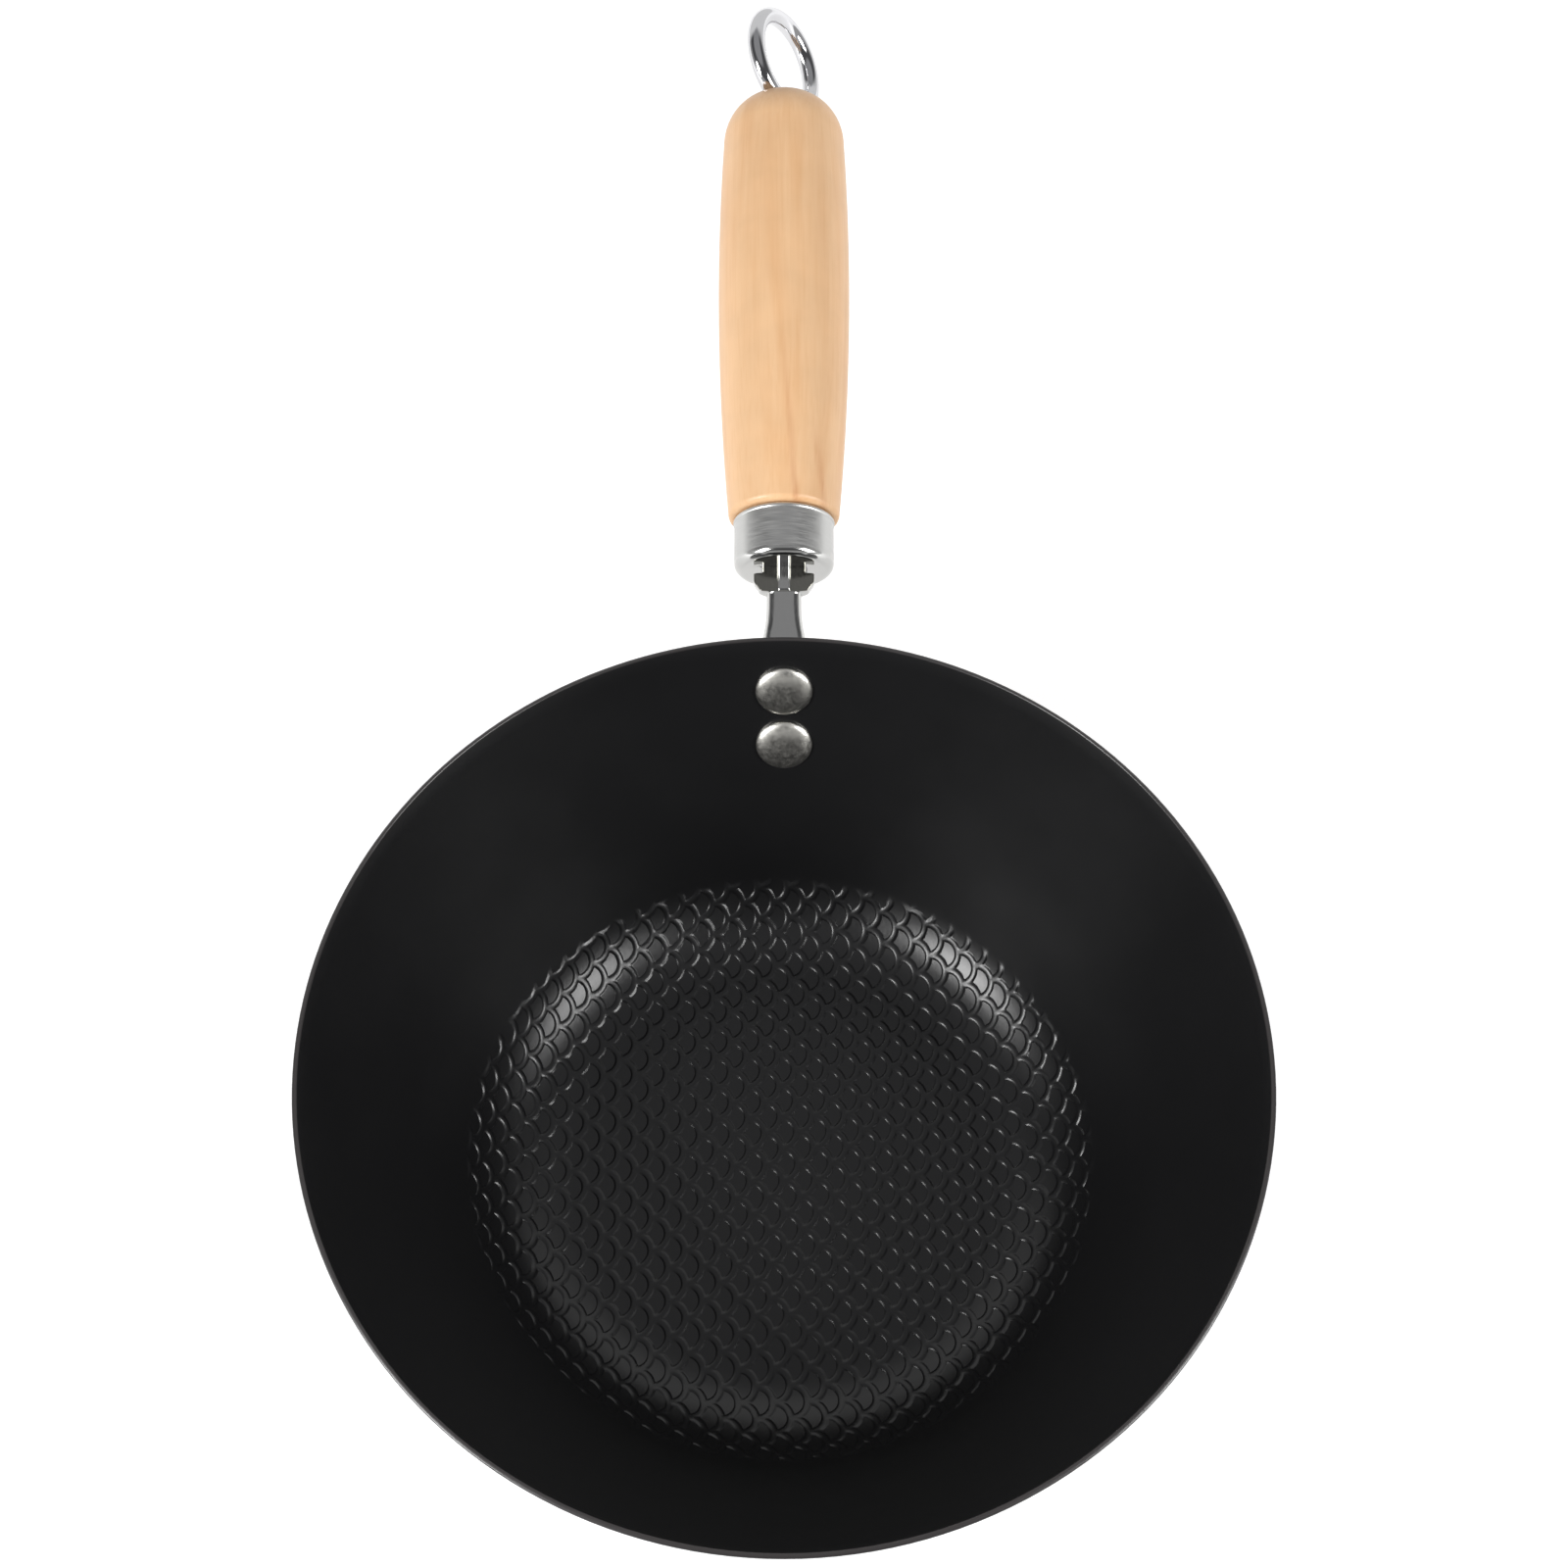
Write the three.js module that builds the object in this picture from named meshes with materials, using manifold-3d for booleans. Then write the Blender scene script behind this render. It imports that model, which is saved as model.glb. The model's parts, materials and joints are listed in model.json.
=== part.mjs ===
// A pressed sheet-iron wok with a riveted handle bracket, a chromed ferrule, a turned wooden grip
// and a hanging eye on the tie rod that draws the grip, ferrule and bracket together.
// Millimetres, +Z up. The origin is the centre of the base's underside and the handle runs along +Y.

import * as THREE from 'three';
import { mergeVertices } from 'three/addons/utils/BufferGeometryUtils.js';
import Module from 'manifold-3d';

const wasm = await Module();
wasm.setup();

// Bowl, measured on its inner face
const RIM_INSIDE_DIAMETER = 217.7;
const BOWL_HEIGHT = 82.6;
const BASE_FLAT_DIAMETER = 107.4;
const KNUCKLE_RADIUS = 28;
const KNUCKLE_ANGLE = 59;
const BOWL_SHEET = 1.2;

// Rivets through the wall, measured down the wall from the rim
const RIVET_FROM_RIM = 16.1;
const RIVET_PITCH = 17;
const RIVET_SHANK_DIAMETER = 5.2;
const RIVET_HEAD_DIAMETER = 14.6;
const RIVET_HEAD_HEIGHT = 2.4;
const RIVET_TAIL_DIAMETER = 10.5;
const RIVET_TAIL_HEIGHT = 2.2;

// Stamped bracket: a plate on the wall, a channel stem, a notched head and a tang inside the ferrule
const STRAP_SHEET = 1.8;
const STRAP_EDGE_RADIUS = 1.4;
const PLATE_WIDTH = 22;
const PLATE_SHOULDER_WIDTH = 15;
const BEND_FROM_RIM = 7.5;
const FOOT_LENGTH = 3;
const FOOT_SUNK = 0.45;
const PLATE_TOP_BELOW_BEND = 1;
const BEND_RADIUS = 6;
const STEM_WIDTH = 9;
const STEM_DEPTH = 4.4;
const HEAD_WIDTH = 15.6;
const HEAD_LENGTH = 6.7;
const HEAD_ABOVE_AXIS = 3.5;
const HEAD_LIP_DEPTH = 2.8;
const RIB_WIDTH = 3.4;
const RIB_HEIGHT = 1.2;
const NECK_WIDTH = 11.2;
const SHOULDER_GAP = 1.6;
const NOTCH_DRAFT = 0.2;
const FLARE_AT_BEND = 0.7;
const LUG_MARGIN = 2.9;
const LUG_BEND_RADIUS = 2.8;

// Handle axis: where the ferrule's face stands from the rim, and how steeply the handle rises
const FERRULE_FROM_RIM = 20.6;
const AXIS_BELOW_RIM = 1.5;
const HANDLE_RISE = 13;

// Ferrule: a drawn cap with an opening in its end for the tang
const FERRULE_DIAMETER = 26.2;
const FERRULE_LENGTH = 14;
const FERRULE_WALL = 0.9;
const FERRULE_END_WALL = 1;
const FERRULE_EDGE_RADIUS = 2.1;
const FERRULE_LIP_CHAMFER = 0.4;
const OPENING_CORNER_RADIUS = 1.5;

// Grip: a turned barrel with a spigot in the ferrule
const GRIP_LENGTH = 125.3;
const GRIP_FRONT_DIAMETER = 28.5;
const GRIP_BELLY_DIAMETER = 35;
const GRIP_BELLY_FROM_FRONT = 71;
const GRIP_FRONT_EDGE_RADIUS = 1.6;
const GRIP_END_ROUND_LENGTH = 13.5;
const GRIP_END_FLAT_DIAMETER = 8;
const SPIGOT_LENGTH = 11.5;

// Hanging eye, its tie rod and the nut that anchors it
const EYE_WIRE_DIAMETER = 4.8;
const EYE_RING_DIAMETER = 26.4;
const EYE_SUNK_IN_GRIP = 2.7;
const EYE_TURN = 55;
const NUT_FLATS = 8;
const NUT_THICKNESS = 4;
const NUT_SET_BACK = 3.5;
const ROD_TIP_PAST_NUT = 1.5;

// Clearances
const SEAT_GAP = 0.3;
const PASS_GAP = 0.4;

// Facet counts
const BOWL_SIDES = 96;
const KNUCKLE_STEPS = 6;
const WALL_STEPS = 6;
const TURNED_SIDES = 48;
const ROUND_STEPS = 5;
const BARREL_STEPS = 10;
const STEM_STEPS = 3;
const SMALL_SIDES = 24;
const RING_SIDES = 12;
const RING_STEPS = 40;

const WELD_DISTANCE = 1e-4;
const QUARTER_TURN = Math.PI / 2;
const radians = THREE.MathUtils.degToRad;

// Solids: a closed geometry is welded, turned the right way out and handed to the boolean kernel

function weld(geometry) {
  const shell = geometry.clone();
  shell.deleteAttribute('normal');
  shell.deleteAttribute('uv');
  return mergeVertices(shell, WELD_DISTANCE);
}

function signedVolume(position, corners) {
  const a = new THREE.Vector3();
  const b = new THREE.Vector3();
  const c = new THREE.Vector3();
  let sum = 0;
  for (let i = 0; i < corners.length; i += 3) {
    a.fromBufferAttribute(position, corners[i]);
    b.fromBufferAttribute(position, corners[i + 1]);
    c.fromBufferAttribute(position, corners[i + 2]);
    sum += a.dot(b.cross(c)) / 6;
  }
  return sum;
}

function toSolid(geometry) {
  const shell = weld(geometry);
  const corners = [];
  const index = shell.index.array;
  for (let i = 0; i < index.length; i += 3) {
    const [a, b, c] = [index[i], index[i + 1], index[i + 2]];
    if (a !== b && b !== c && c !== a) corners.push(a, b, c);
  }
  if (signedVolume(shell.attributes.position, corners) < 0) corners.reverse();
  return new wasm.Manifold(new wasm.Mesh({
    numProp: 3,
    vertProperties: Float32Array.from(shell.attributes.position.array),
    triVerts: Uint32Array.from(corners),
  }));
}

function toGeometry(body) {
  const mesh = body.getMesh();
  const geometry = new THREE.BufferGeometry();
  geometry.setAttribute('position', new THREE.BufferAttribute(mesh.vertProperties, 3));
  geometry.setIndex(new THREE.BufferAttribute(mesh.triVerts, 1));
  geometry.computeVertexNormals();
  return geometry;
}

function part(name, body, colour, roughness, metalness) {
  const material = new THREE.MeshStandardMaterial({ color: colour, roughness, metalness });
  const mesh = new THREE.Mesh(toGeometry(body), material);
  mesh.name = name;
  return mesh;
}

// A solid of revolution about Y, from a profile of (radius, height) points.
function revolve(profile, sides) {
  return toSolid(new THREE.LatheGeometry(profile, sides));
}

// A round bar about Y between two heights.
function bar(radius, low, high, sides) {
  const geometry = new THREE.CylinderGeometry(radius, radius, high - low, sides);
  return toSolid(geometry.translate(0, (low + high) / 2, 0));
}

// Points on an elliptical quarter or part arc, in (radius, height).
function arc(centreX, centreY, radiusX, radiusY, from, to, steps) {
  const points = [];
  for (let i = 0; i <= steps; i++) {
    const angle = from + (to - from) * i / steps;
    const x = centreX + radiusX * Math.cos(angle);
    const y = centreY + radiusY * Math.sin(angle);
    points.push(new THREE.Vector2(x, y));
  }
  return points;
}

// Bowl section: flat base, knuckle arc and a wall arc that ends at the rim

const knuckleAngle = radians(KNUCKLE_ANGLE);
const flatRadius = BASE_FLAT_DIAMETER / 2;
const wallFoot = new THREE.Vector2(
  flatRadius + KNUCKLE_RADIUS * Math.sin(knuckleAngle),
  BOWL_SHEET + KNUCKLE_RADIUS * (1 - Math.cos(knuckleAngle)),
);
const rimInside = new THREE.Vector2(RIM_INSIDE_DIAMETER / 2, BOWL_HEIGHT);
const wallChord = rimInside.clone().sub(wallFoot);
const wallHalfTurn = wallChord.angle() - knuckleAngle;
const wallRadius = wallChord.length() / (2 * Math.sin(wallHalfTurn));
const wallLength = wallRadius * 2 * wallHalfTurn;

// A point on the wall at a distance down from the rim, and the wall's slope there.
function wallAt(fromRim, offset) {
  const slope = knuckleAngle + 2 * wallHalfTurn * (1 - fromRim / wallLength);
  const x = wallFoot.x + wallRadius * (Math.sin(slope) - Math.sin(knuckleAngle));
  const y = wallFoot.y + wallRadius * (Math.cos(knuckleAngle) - Math.cos(slope));
  const point = new THREE.Vector2(x + offset * Math.sin(slope), y - offset * Math.cos(slope));
  return { point, slope };
}

function wallRun(lowFromRim, highFromRim, offset) {
  const points = [];
  for (let i = 0; i <= WALL_STEPS; i++) {
    points.push(wallAt(lowFromRim + (highFromRim - lowFromRim) * i / WALL_STEPS, offset).point);
  }
  return points;
}

// The whole section from the axis to the rim, offset outwards from the inner face.
function bowlSkin(offset) {
  const centreHeight = BOWL_SHEET + KNUCKLE_RADIUS;
  const radius = KNUCKLE_RADIUS + offset;
  const end = knuckleAngle - QUARTER_TURN;
  const knuckle = arc(flatRadius, centreHeight, radius, radius, -QUARTER_TURN, end, KNUCKLE_STEPS);
  const axisPoint = new THREE.Vector2(0, BOWL_SHEET - offset);
  return [axisPoint, ...knuckle, ...wallRun(wallLength, 0, offset).slice(1)];
}

// Turns a solid that was revolved about Y so that its axis is Z.
function upright(body) {
  return body.rotate([90, 0, 0]);
}

// A round cutter along the wall's normal at a distance from the rim.
function rivetHole(fromRim) {
  const { point, slope } = wallAt(fromRim, 0);
  const radius = RIVET_SHANK_DIAMETER / 2 + SEAT_GAP;
  const reach = RIVET_HEAD_DIAMETER;
  const turn = THREE.MathUtils.radToDeg(slope) + 90;
  return bar(radius, -reach, reach, SMALL_SIDES).rotate([turn, 0, 0]).translate([0, point.x, point.y]);
}

const rivetRows = [RIVET_FROM_RIM, RIVET_FROM_RIM + RIVET_PITCH];

function cutRivetHoles(body) {
  return rivetRows.reduce((rest, row) => rest.subtract(rivetHole(row)), body);
}

function makeBowl() {
  const profile = [...bowlSkin(0), ...bowlSkin(BOWL_SHEET).reverse()];
  return cutRivetHoles(upright(revolve(profile, BOWL_SIDES)));
}

// Rivet: a low dome inside the bowl, a shank and a flatter formed tail outside the bracket plate

function makeRivet() {
  const shank = RIVET_SHANK_DIAMETER / 2;
  const head = RIVET_HEAD_DIAMETER / 2;
  const tail = RIVET_TAIL_DIAMETER / 2;
  const headSeat = SEAT_GAP + head * head / RIM_INSIDE_DIAMETER;
  const tailSeat = -(BOWL_SHEET + SEAT_GAP + STRAP_SHEET + SEAT_GAP);
  const profile = [
    ...arc(0, tailSeat, tail, RIVET_TAIL_HEIGHT, -QUARTER_TURN, 0, ROUND_STEPS),
    new THREE.Vector2(shank, tailSeat),
    new THREE.Vector2(shank, headSeat),
    ...arc(0, headSeat, head, RIVET_HEAD_HEIGHT, 0, QUARTER_TURN, ROUND_STEPS),
  ];
  profile[0].x = 0;
  profile[profile.length - 1].x = 0;
  return revolve(profile, SMALL_SIDES);
}

// Handle frame: s runs along the handle from the ferrule's face, n is square to it and upwards

const handleRise = radians(HANDLE_RISE);
const rimOutside = wallAt(0, BOWL_SHEET).point;
const handleStart = new THREE.Vector2(rimOutside.x + FERRULE_FROM_RIM, BOWL_HEIGHT - AXIS_BELOW_RIM);

function onHandle(s, n) {
  return new THREE.Vector2(s, n).rotateAround(new THREE.Vector2(), handleRise).add(handleStart);
}

// Bracket strap: channel sections with rounded edges and a middle rib, lofted along the upper face

function strapSection(halfWidth, depth, rib) {
  const edge = STRAP_EDGE_RADIUS;
  const ribHalf = RIB_WIDTH / 2;
  const inside = halfWidth - STRAP_SHEET;
  const left = [
    new THREE.Vector2(-halfWidth, -depth),
    ...arc(edge - halfWidth, -edge, edge, edge, Math.PI, QUARTER_TURN, ROUND_STEPS),
    new THREE.Vector2(-ribHalf, 0),
    new THREE.Vector2(-ribHalf / 2, rib),
  ];
  const under = [
    new THREE.Vector2(inside, -depth),
    new THREE.Vector2(inside, -STRAP_SHEET),
    new THREE.Vector2(ribHalf / 2, -STRAP_SHEET),
    new THREE.Vector2(ribHalf / 4, rib - STRAP_SHEET),
  ];
  const mirrored = (points) => points.map((p) => new THREE.Vector2(-p.x, p.y)).reverse();
  return [...left, ...mirrored(left), ...under, ...mirrored(under)];
}

// A station is a place on the strap's path, in the plane of Y and Z, with the section's sizes there.
function station(place, direction, halfWidth, depth, rib) {
  const section = strapSection(halfWidth, depth, rib);
  const cosine = Math.cos(direction);
  const sine = Math.sin(direction);
  return section.map((p) => new THREE.Vector3(p.x, place.x - p.y * sine, place.y + p.y * cosine));
}

function loft(stations) {
  const count = stations[0].length;
  const corners = [];
  for (let row = 0; row < stations.length - 1; row++) {
    for (let i = 0; i < count; i++) {
      const next = (i + 1) % count;
      const a = row * count + i;
      const b = row * count + next;
      corners.push(a, b, b + count, a, b + count, a + count);
    }
  }
  const cap = THREE.ShapeUtils.triangulateShape(strapSection(STEM_WIDTH / 2, STEM_DEPTH, 0), []);
  const last = (stations.length - 1) * count;
  for (const [a, b, c] of cap) {
    corners.push(a, b, c, last + c, last + b, last + a);
  }
  const geometry = new THREE.BufferGeometry().setFromPoints(stations.flat());
  geometry.setIndex(corners);
  return toSolid(geometry);
}

// Plate: a slice of a shell that follows the wall's outer face, cut to a rounded outline

const plateInner = BOWL_SHEET + SEAT_GAP;

function makePlate() {
  const half = PLATE_WIDTH / 2;
  const shoulder = PLATE_SHOULDER_WIDTH / 2;
  const lowEnd = RIVET_FROM_RIM + RIVET_PITCH + half + PASS_GAP;
  const highEnd = BEND_FROM_RIM + PLATE_TOP_BELOW_BEND;
  const shellProfile = [
    ...wallRun(lowEnd, highEnd, plateInner),
    ...wallRun(lowEnd, highEnd, plateInner + STRAP_SHEET).reverse(),
  ];
  shellProfile.push(shellProfile[0].clone());
  const shell = upright(revolve(shellProfile, BOWL_SIDES));

  const shoulderHeight = wallAt(highEnd, 0).point.y;
  const upperRivet = wallAt(rivetRows[0], 0).point.y;
  const lowerRivet = wallAt(rivetRows[1], 0).point.y;
  const outline = new THREE.Shape();
  outline.moveTo(shoulder, shoulderHeight + half);
  outline.lineTo(shoulder, shoulderHeight);
  outline.quadraticCurveTo(shoulder, upperRivet, half, upperRivet);
  outline.lineTo(half, lowerRivet);
  outline.absarc(0, lowerRivet, half, 0, -Math.PI, true);
  outline.lineTo(-half, upperRivet);
  outline.quadraticCurveTo(-shoulder, upperRivet, -shoulder, shoulderHeight);
  outline.lineTo(-shoulder, shoulderHeight + half);
  const prism = new THREE.ExtrudeGeometry(outline, {
    depth: rimOutside.x,
    bevelEnabled: false,
    curveSegments: SMALL_SIDES / 2,
  });
  prism.rotateX(QUARTER_TURN).translate(0, rimOutside.x + PLATE_WIDTH, 0);
  return shell.intersect(toSolid(prism));
}

// Strap rows: up out of the plate, over the bend and straight to the head

const strapFoot = wallAt(BEND_FROM_RIM, plateInner + FOOT_SUNK);

function stemRows() {
  const headStart = onHandle(-HEAD_LENGTH, HEAD_ABOVE_AXIS);
  const footNormal = new THREE.Vector2(Math.sin(strapFoot.slope), -Math.cos(strapFoot.slope));
  const bendCentre = strapFoot.point.clone().addScaledVector(footNormal, BEND_RADIUS);
  const toHead = headStart.clone().sub(bendCentre);
  const stemSlope = toHead.angle() - Math.asin(BEND_RADIUS / toHead.length());
  const bendAt = (direction) => new THREE.Vector2(-Math.sin(direction), Math.cos(direction))
    .multiplyScalar(BEND_RADIUS).add(bendCentre);

  const foot = PLATE_SHOULDER_WIDTH / 2;
  const stem = STEM_WIDTH / 2;
  const downWall = new THREE.Vector2(footNormal.y, -footNormal.x);
  const below = strapFoot.point.clone().addScaledVector(downWall, FOOT_LENGTH);
  const rows = [station(below, strapFoot.slope, foot, STRAP_SHEET, 0)];
  for (let i = 0; i <= ROUND_STEPS; i++) {
    const share = i / ROUND_STEPS;
    const direction = THREE.MathUtils.lerp(strapFoot.slope, stemSlope, share);
    const half = THREE.MathUtils.lerp(foot, stem, FLARE_AT_BEND * Math.sin(share * QUARTER_TURN));
    rows.push(station(bendAt(direction), direction, half, STRAP_SHEET, 0));
  }
  const stemStart = bendAt(stemSlope);
  for (let i = 1; i < STEM_STEPS; i++) {
    const place = stemStart.clone().lerp(headStart, i / STEM_STEPS);
    rows.push(station(place, stemSlope, stem, STEM_DEPTH, 0));
  }
  rows.push(station(headStart, (stemSlope + handleRise) / 2, stem, STEM_DEPTH, 0));
  return rows;
}

// Head rows: out along a quarter ellipse to the shoulders, then in at once to the neck

const neckHalf = NECK_WIDTH / 2;

function headRows() {
  const rows = [];
  const stem = STEM_WIDTH / 2;
  const headHalf = HEAD_WIDTH / 2;
  const curveLength = HEAD_LENGTH - 2 * SHOULDER_GAP;
  for (let i = 1; i <= ROUND_STEPS; i++) {
    const share = i / ROUND_STEPS;
    const half = stem + (headHalf - stem) * Math.sqrt(1 - (1 - share) ** 2);
    const place = onHandle(-HEAD_LENGTH + curveLength * share, HEAD_ABOVE_AXIS);
    rows.push(station(place, handleRise, half, HEAD_LIP_DEPTH, RIB_HEIGHT * Math.min(1, i / 2)));
  }
  const shoulder = onHandle(-SHOULDER_GAP - NOTCH_DRAFT, HEAD_ABOVE_AXIS);
  rows.push(station(shoulder, handleRise, headHalf, HEAD_LIP_DEPTH, RIB_HEIGHT));
  const neck = onHandle(-SHOULDER_GAP, HEAD_ABOVE_AXIS);
  rows.push(station(neck, handleRise, neckHalf, STRAP_SHEET, RIB_HEIGHT));
  return rows;
}

// Tang rows: through the ferrule's opening, up over the nut and down behind it as a lug

const nutRear = NUT_SET_BACK + NUT_THICKNESS;
const lugFront = nutRear + SEAT_GAP;
const lugRear = lugFront + STRAP_SHEET;
const tangTop = NUT_FLATS / 2 + PASS_GAP + STRAP_SHEET;
const rodRadius = EYE_WIRE_DIAMETER / 2;
const rodHole = rodRadius + SEAT_GAP;
const lugBottom = rodHole + LUG_MARGIN;

function tangRows() {
  const riseStart = FERRULE_END_WALL + PASS_GAP;
  const riseEnd = NUT_SET_BACK - SEAT_GAP;
  const rows = [
    station(onHandle(riseStart, HEAD_ABOVE_AXIS), handleRise, neckHalf, STRAP_SHEET, RIB_HEIGHT),
    station(onHandle(riseEnd, tangTop), handleRise, neckHalf, STRAP_SHEET, 0),
  ];
  const centreS = lugRear - LUG_BEND_RADIUS;
  const centreN = tangTop - LUG_BEND_RADIUS;
  for (let i = 0; i <= ROUND_STEPS; i++) {
    const turn = QUARTER_TURN * i / ROUND_STEPS;
    const s = centreS + LUG_BEND_RADIUS * Math.sin(turn);
    const n = centreN + LUG_BEND_RADIUS * Math.cos(turn);
    rows.push(station(onHandle(s, n), handleRise - turn, neckHalf, STRAP_SHEET, 0));
  }
  rows.push(station(onHandle(lugRear, -lugBottom), handleRise - QUARTER_TURN, neckHalf, STRAP_SHEET, 0));
  return rows;
}

// Takes a solid made in the handle frame, with Y along the handle, to the part's frame.
function toPartFrame(body) {
  return body.rotate([HANDLE_RISE, 0, 0]).translate([0, handleStart.x, handleStart.y]);
}

function makeBracket() {
  const strap = loft([...stemRows(), ...headRows(), ...tangRows()]);
  const joined = makePlate().add(strap);
  const rodCutter = bar(rodHole, lugFront - PASS_GAP, lugRear + PASS_GAP, SMALL_SIDES);
  return cutRivetHoles(joined.subtract(toPartFrame(rodCutter)));
}

// Ferrule, in the handle frame

const ferruleRadius = FERRULE_DIAMETER / 2;
const ferruleBore = ferruleRadius - FERRULE_WALL;

function roundedRectangle(left, right, low, high, radius) {
  const outline = new THREE.Shape();
  outline.moveTo(left, low + radius);
  outline.absarc(left + radius, low + radius, radius, Math.PI, 1.5 * Math.PI);
  outline.absarc(right - radius, low + radius, radius, -QUARTER_TURN, 0);
  outline.absarc(right - radius, high - radius, radius, 0, QUARTER_TURN);
  outline.absarc(left + radius, high - radius, radius, QUARTER_TURN, Math.PI);
  return outline;
}

// An outline in (x, n), extruded along the handle between two places.
function extrudeAlong(outline, from, to) {
  const geometry = new THREE.ExtrudeGeometry(outline, {
    depth: to - from,
    bevelEnabled: false,
    curveSegments: ROUND_STEPS,
  });
  return toSolid(geometry.rotateX(QUARTER_TURN).translate(0, to, 0));
}

function makeFerrule() {
  const chamfer = FERRULE_LIP_CHAMFER;
  const edge = FERRULE_EDGE_RADIUS;
  const profile = [
    new THREE.Vector2(0, 0),
    ...arc(ferruleRadius - edge, edge, edge, edge, -QUARTER_TURN, 0, ROUND_STEPS),
    new THREE.Vector2(ferruleRadius, FERRULE_LENGTH - chamfer),
    new THREE.Vector2(ferruleRadius - chamfer, FERRULE_LENGTH),
    new THREE.Vector2(ferruleBore, FERRULE_LENGTH),
    new THREE.Vector2(ferruleBore, FERRULE_END_WALL),
    new THREE.Vector2(0, FERRULE_END_WALL),
  ];
  const openingHalf = neckHalf + PASS_GAP;
  const openingTop = Math.max(tangTop, HEAD_ABOVE_AXIS + RIB_HEIGHT) + PASS_GAP;
  const openingLow = -lugBottom - PASS_GAP;
  const corner = OPENING_CORNER_RADIUS;
  const opening = roundedRectangle(-openingHalf, openingHalf, openingLow, openingTop, corner);
  const openingCutter = extrudeAlong(opening, -PASS_GAP, FERRULE_END_WALL + PASS_GAP);
  return revolve(profile, TURNED_SIDES).subtract(openingCutter);
}

// Grip, in the handle frame: a barrel on one long arc, a domed end, a counterbored spigot and a bore

const gripFront = FERRULE_LENGTH + SEAT_GAP;
const gripEnd = gripFront + GRIP_LENGTH;
const eyeRingRadius = EYE_RING_DIAMETER / 2;
const eyeOuterRadius = eyeRingRadius + rodRadius;
const eyeCentre = gripEnd + eyeOuterRadius + SEAT_GAP - EYE_SUNK_IN_GRIP;

function makeGrip() {
  const frontRadius = GRIP_FRONT_DIAMETER / 2;
  const bellyRadius = GRIP_BELLY_DIAMETER / 2;
  const rise = bellyRadius - frontRadius;
  const barrelRadius = (GRIP_BELLY_FROM_FRONT ** 2 + rise ** 2) / (2 * rise);
  const belly = gripFront + GRIP_BELLY_FROM_FRONT;
  const barrelAt = (s) => bellyRadius - barrelRadius + Math.sqrt(barrelRadius ** 2 - (s - belly) ** 2);
  const domeStart = gripEnd - GRIP_END_ROUND_LENGTH;
  const edge = GRIP_FRONT_EDGE_RADIUS;
  const edgeRadius = barrelAt(gripFront + edge);
  const flat = GRIP_END_FLAT_DIAMETER / 2;
  const domeRadius = barrelAt(domeStart) - flat;
  const spigotRadius = ferruleBore - SEAT_GAP;
  const spigotFront = gripFront - SPIGOT_LENGTH;
  const counterbore = Math.hypot(neckHalf, Math.max(tangTop, lugBottom)) + PASS_GAP;
  const counterboreEnd = lugRear + PASS_GAP;

  const barrel = [];
  for (let i = 1; i < BARREL_STEPS; i++) {
    const s = gripFront + edge + (domeStart - gripFront - edge) * i / BARREL_STEPS;
    barrel.push(new THREE.Vector2(barrelAt(s), s));
  }
  const profile = [
    new THREE.Vector2(rodHole, counterboreEnd),
    new THREE.Vector2(counterbore, counterboreEnd),
    new THREE.Vector2(counterbore, spigotFront),
    new THREE.Vector2(spigotRadius, spigotFront),
    new THREE.Vector2(spigotRadius, gripFront),
    ...arc(edgeRadius - edge, gripFront + edge, edge, edge, -QUARTER_TURN, 0, ROUND_STEPS),
    ...barrel,
    ...arc(flat, domeStart, domeRadius, GRIP_END_ROUND_LENGTH, 0, QUARTER_TURN, 2 * ROUND_STEPS),
    new THREE.Vector2(rodHole, gripEnd),
    new THREE.Vector2(rodHole, counterboreEnd),
  ];
  const dish = new THREE.SphereGeometry(eyeOuterRadius + SEAT_GAP, TURNED_SIDES, SMALL_SIDES);
  return revolve(profile, TURNED_SIDES).subtract(toSolid(dish.translate(0, eyeCentre, 0)));
}

// Hanging eye: a ring of round wire that runs on as the tie rod

function makeEye() {
  const ring = new THREE.TorusGeometry(eyeRingRadius, rodRadius, RING_SIDES, RING_STEPS);
  const rod = bar(rodRadius, NUT_SET_BACK - ROD_TIP_PAST_NUT, eyeCentre - eyeRingRadius, SMALL_SIDES);
  return toSolid(ring.translate(0, eyeCentre, 0)).add(rod);
}

function makeNut() {
  const cornerRadius = NUT_FLATS / 2 / Math.cos(Math.PI / 6);
  const blank = bar(cornerRadius, NUT_SET_BACK, nutRear, 6).rotate([0, 30, 0]);
  return blank.subtract(bar(rodHole, NUT_SET_BACK - PASS_GAP, nutRear + PASS_GAP, SMALL_SIDES));
}

// Assembly

const wok = new THREE.Group();
wok.add(part('bowl', makeBowl(), 0x1a1a1b, 0.5, 0.1));
wok.add(part('handle_bracket', makeBracket(), 0xa9abac, 0.2, 1));

['rivet_upper', 'rivet_lower'].forEach((name, i) => {
  const rivet = part(name, makeRivet(), 0xc4c4c2, 0.2, 1);
  const { point, slope } = wallAt(rivetRows[i], 0);
  rivet.position.set(0, point.x, point.y);
  rivet.rotation.x = QUARTER_TURN + slope;
  wok.add(rivet);
});

const handle = new THREE.Group();
handle.position.set(0, handleStart.x, handleStart.y);
handle.rotation.x = handleRise;
handle.add(part('ferrule', makeFerrule(), 0xb4b5b4, 0.28, 1));
handle.add(part('grip', makeGrip(), 0xefc698, 0.5, 0));
handle.add(part('rod_nut', makeNut(), 0x9a9a98, 0.35, 1));
const eye = part('hanging_eye', makeEye(), 0xd2d3d3, 0.12, 1);
eye.rotation.y = radians(EYE_TURN);
handle.add(eye);
wok.add(handle);

export default wok;
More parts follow.
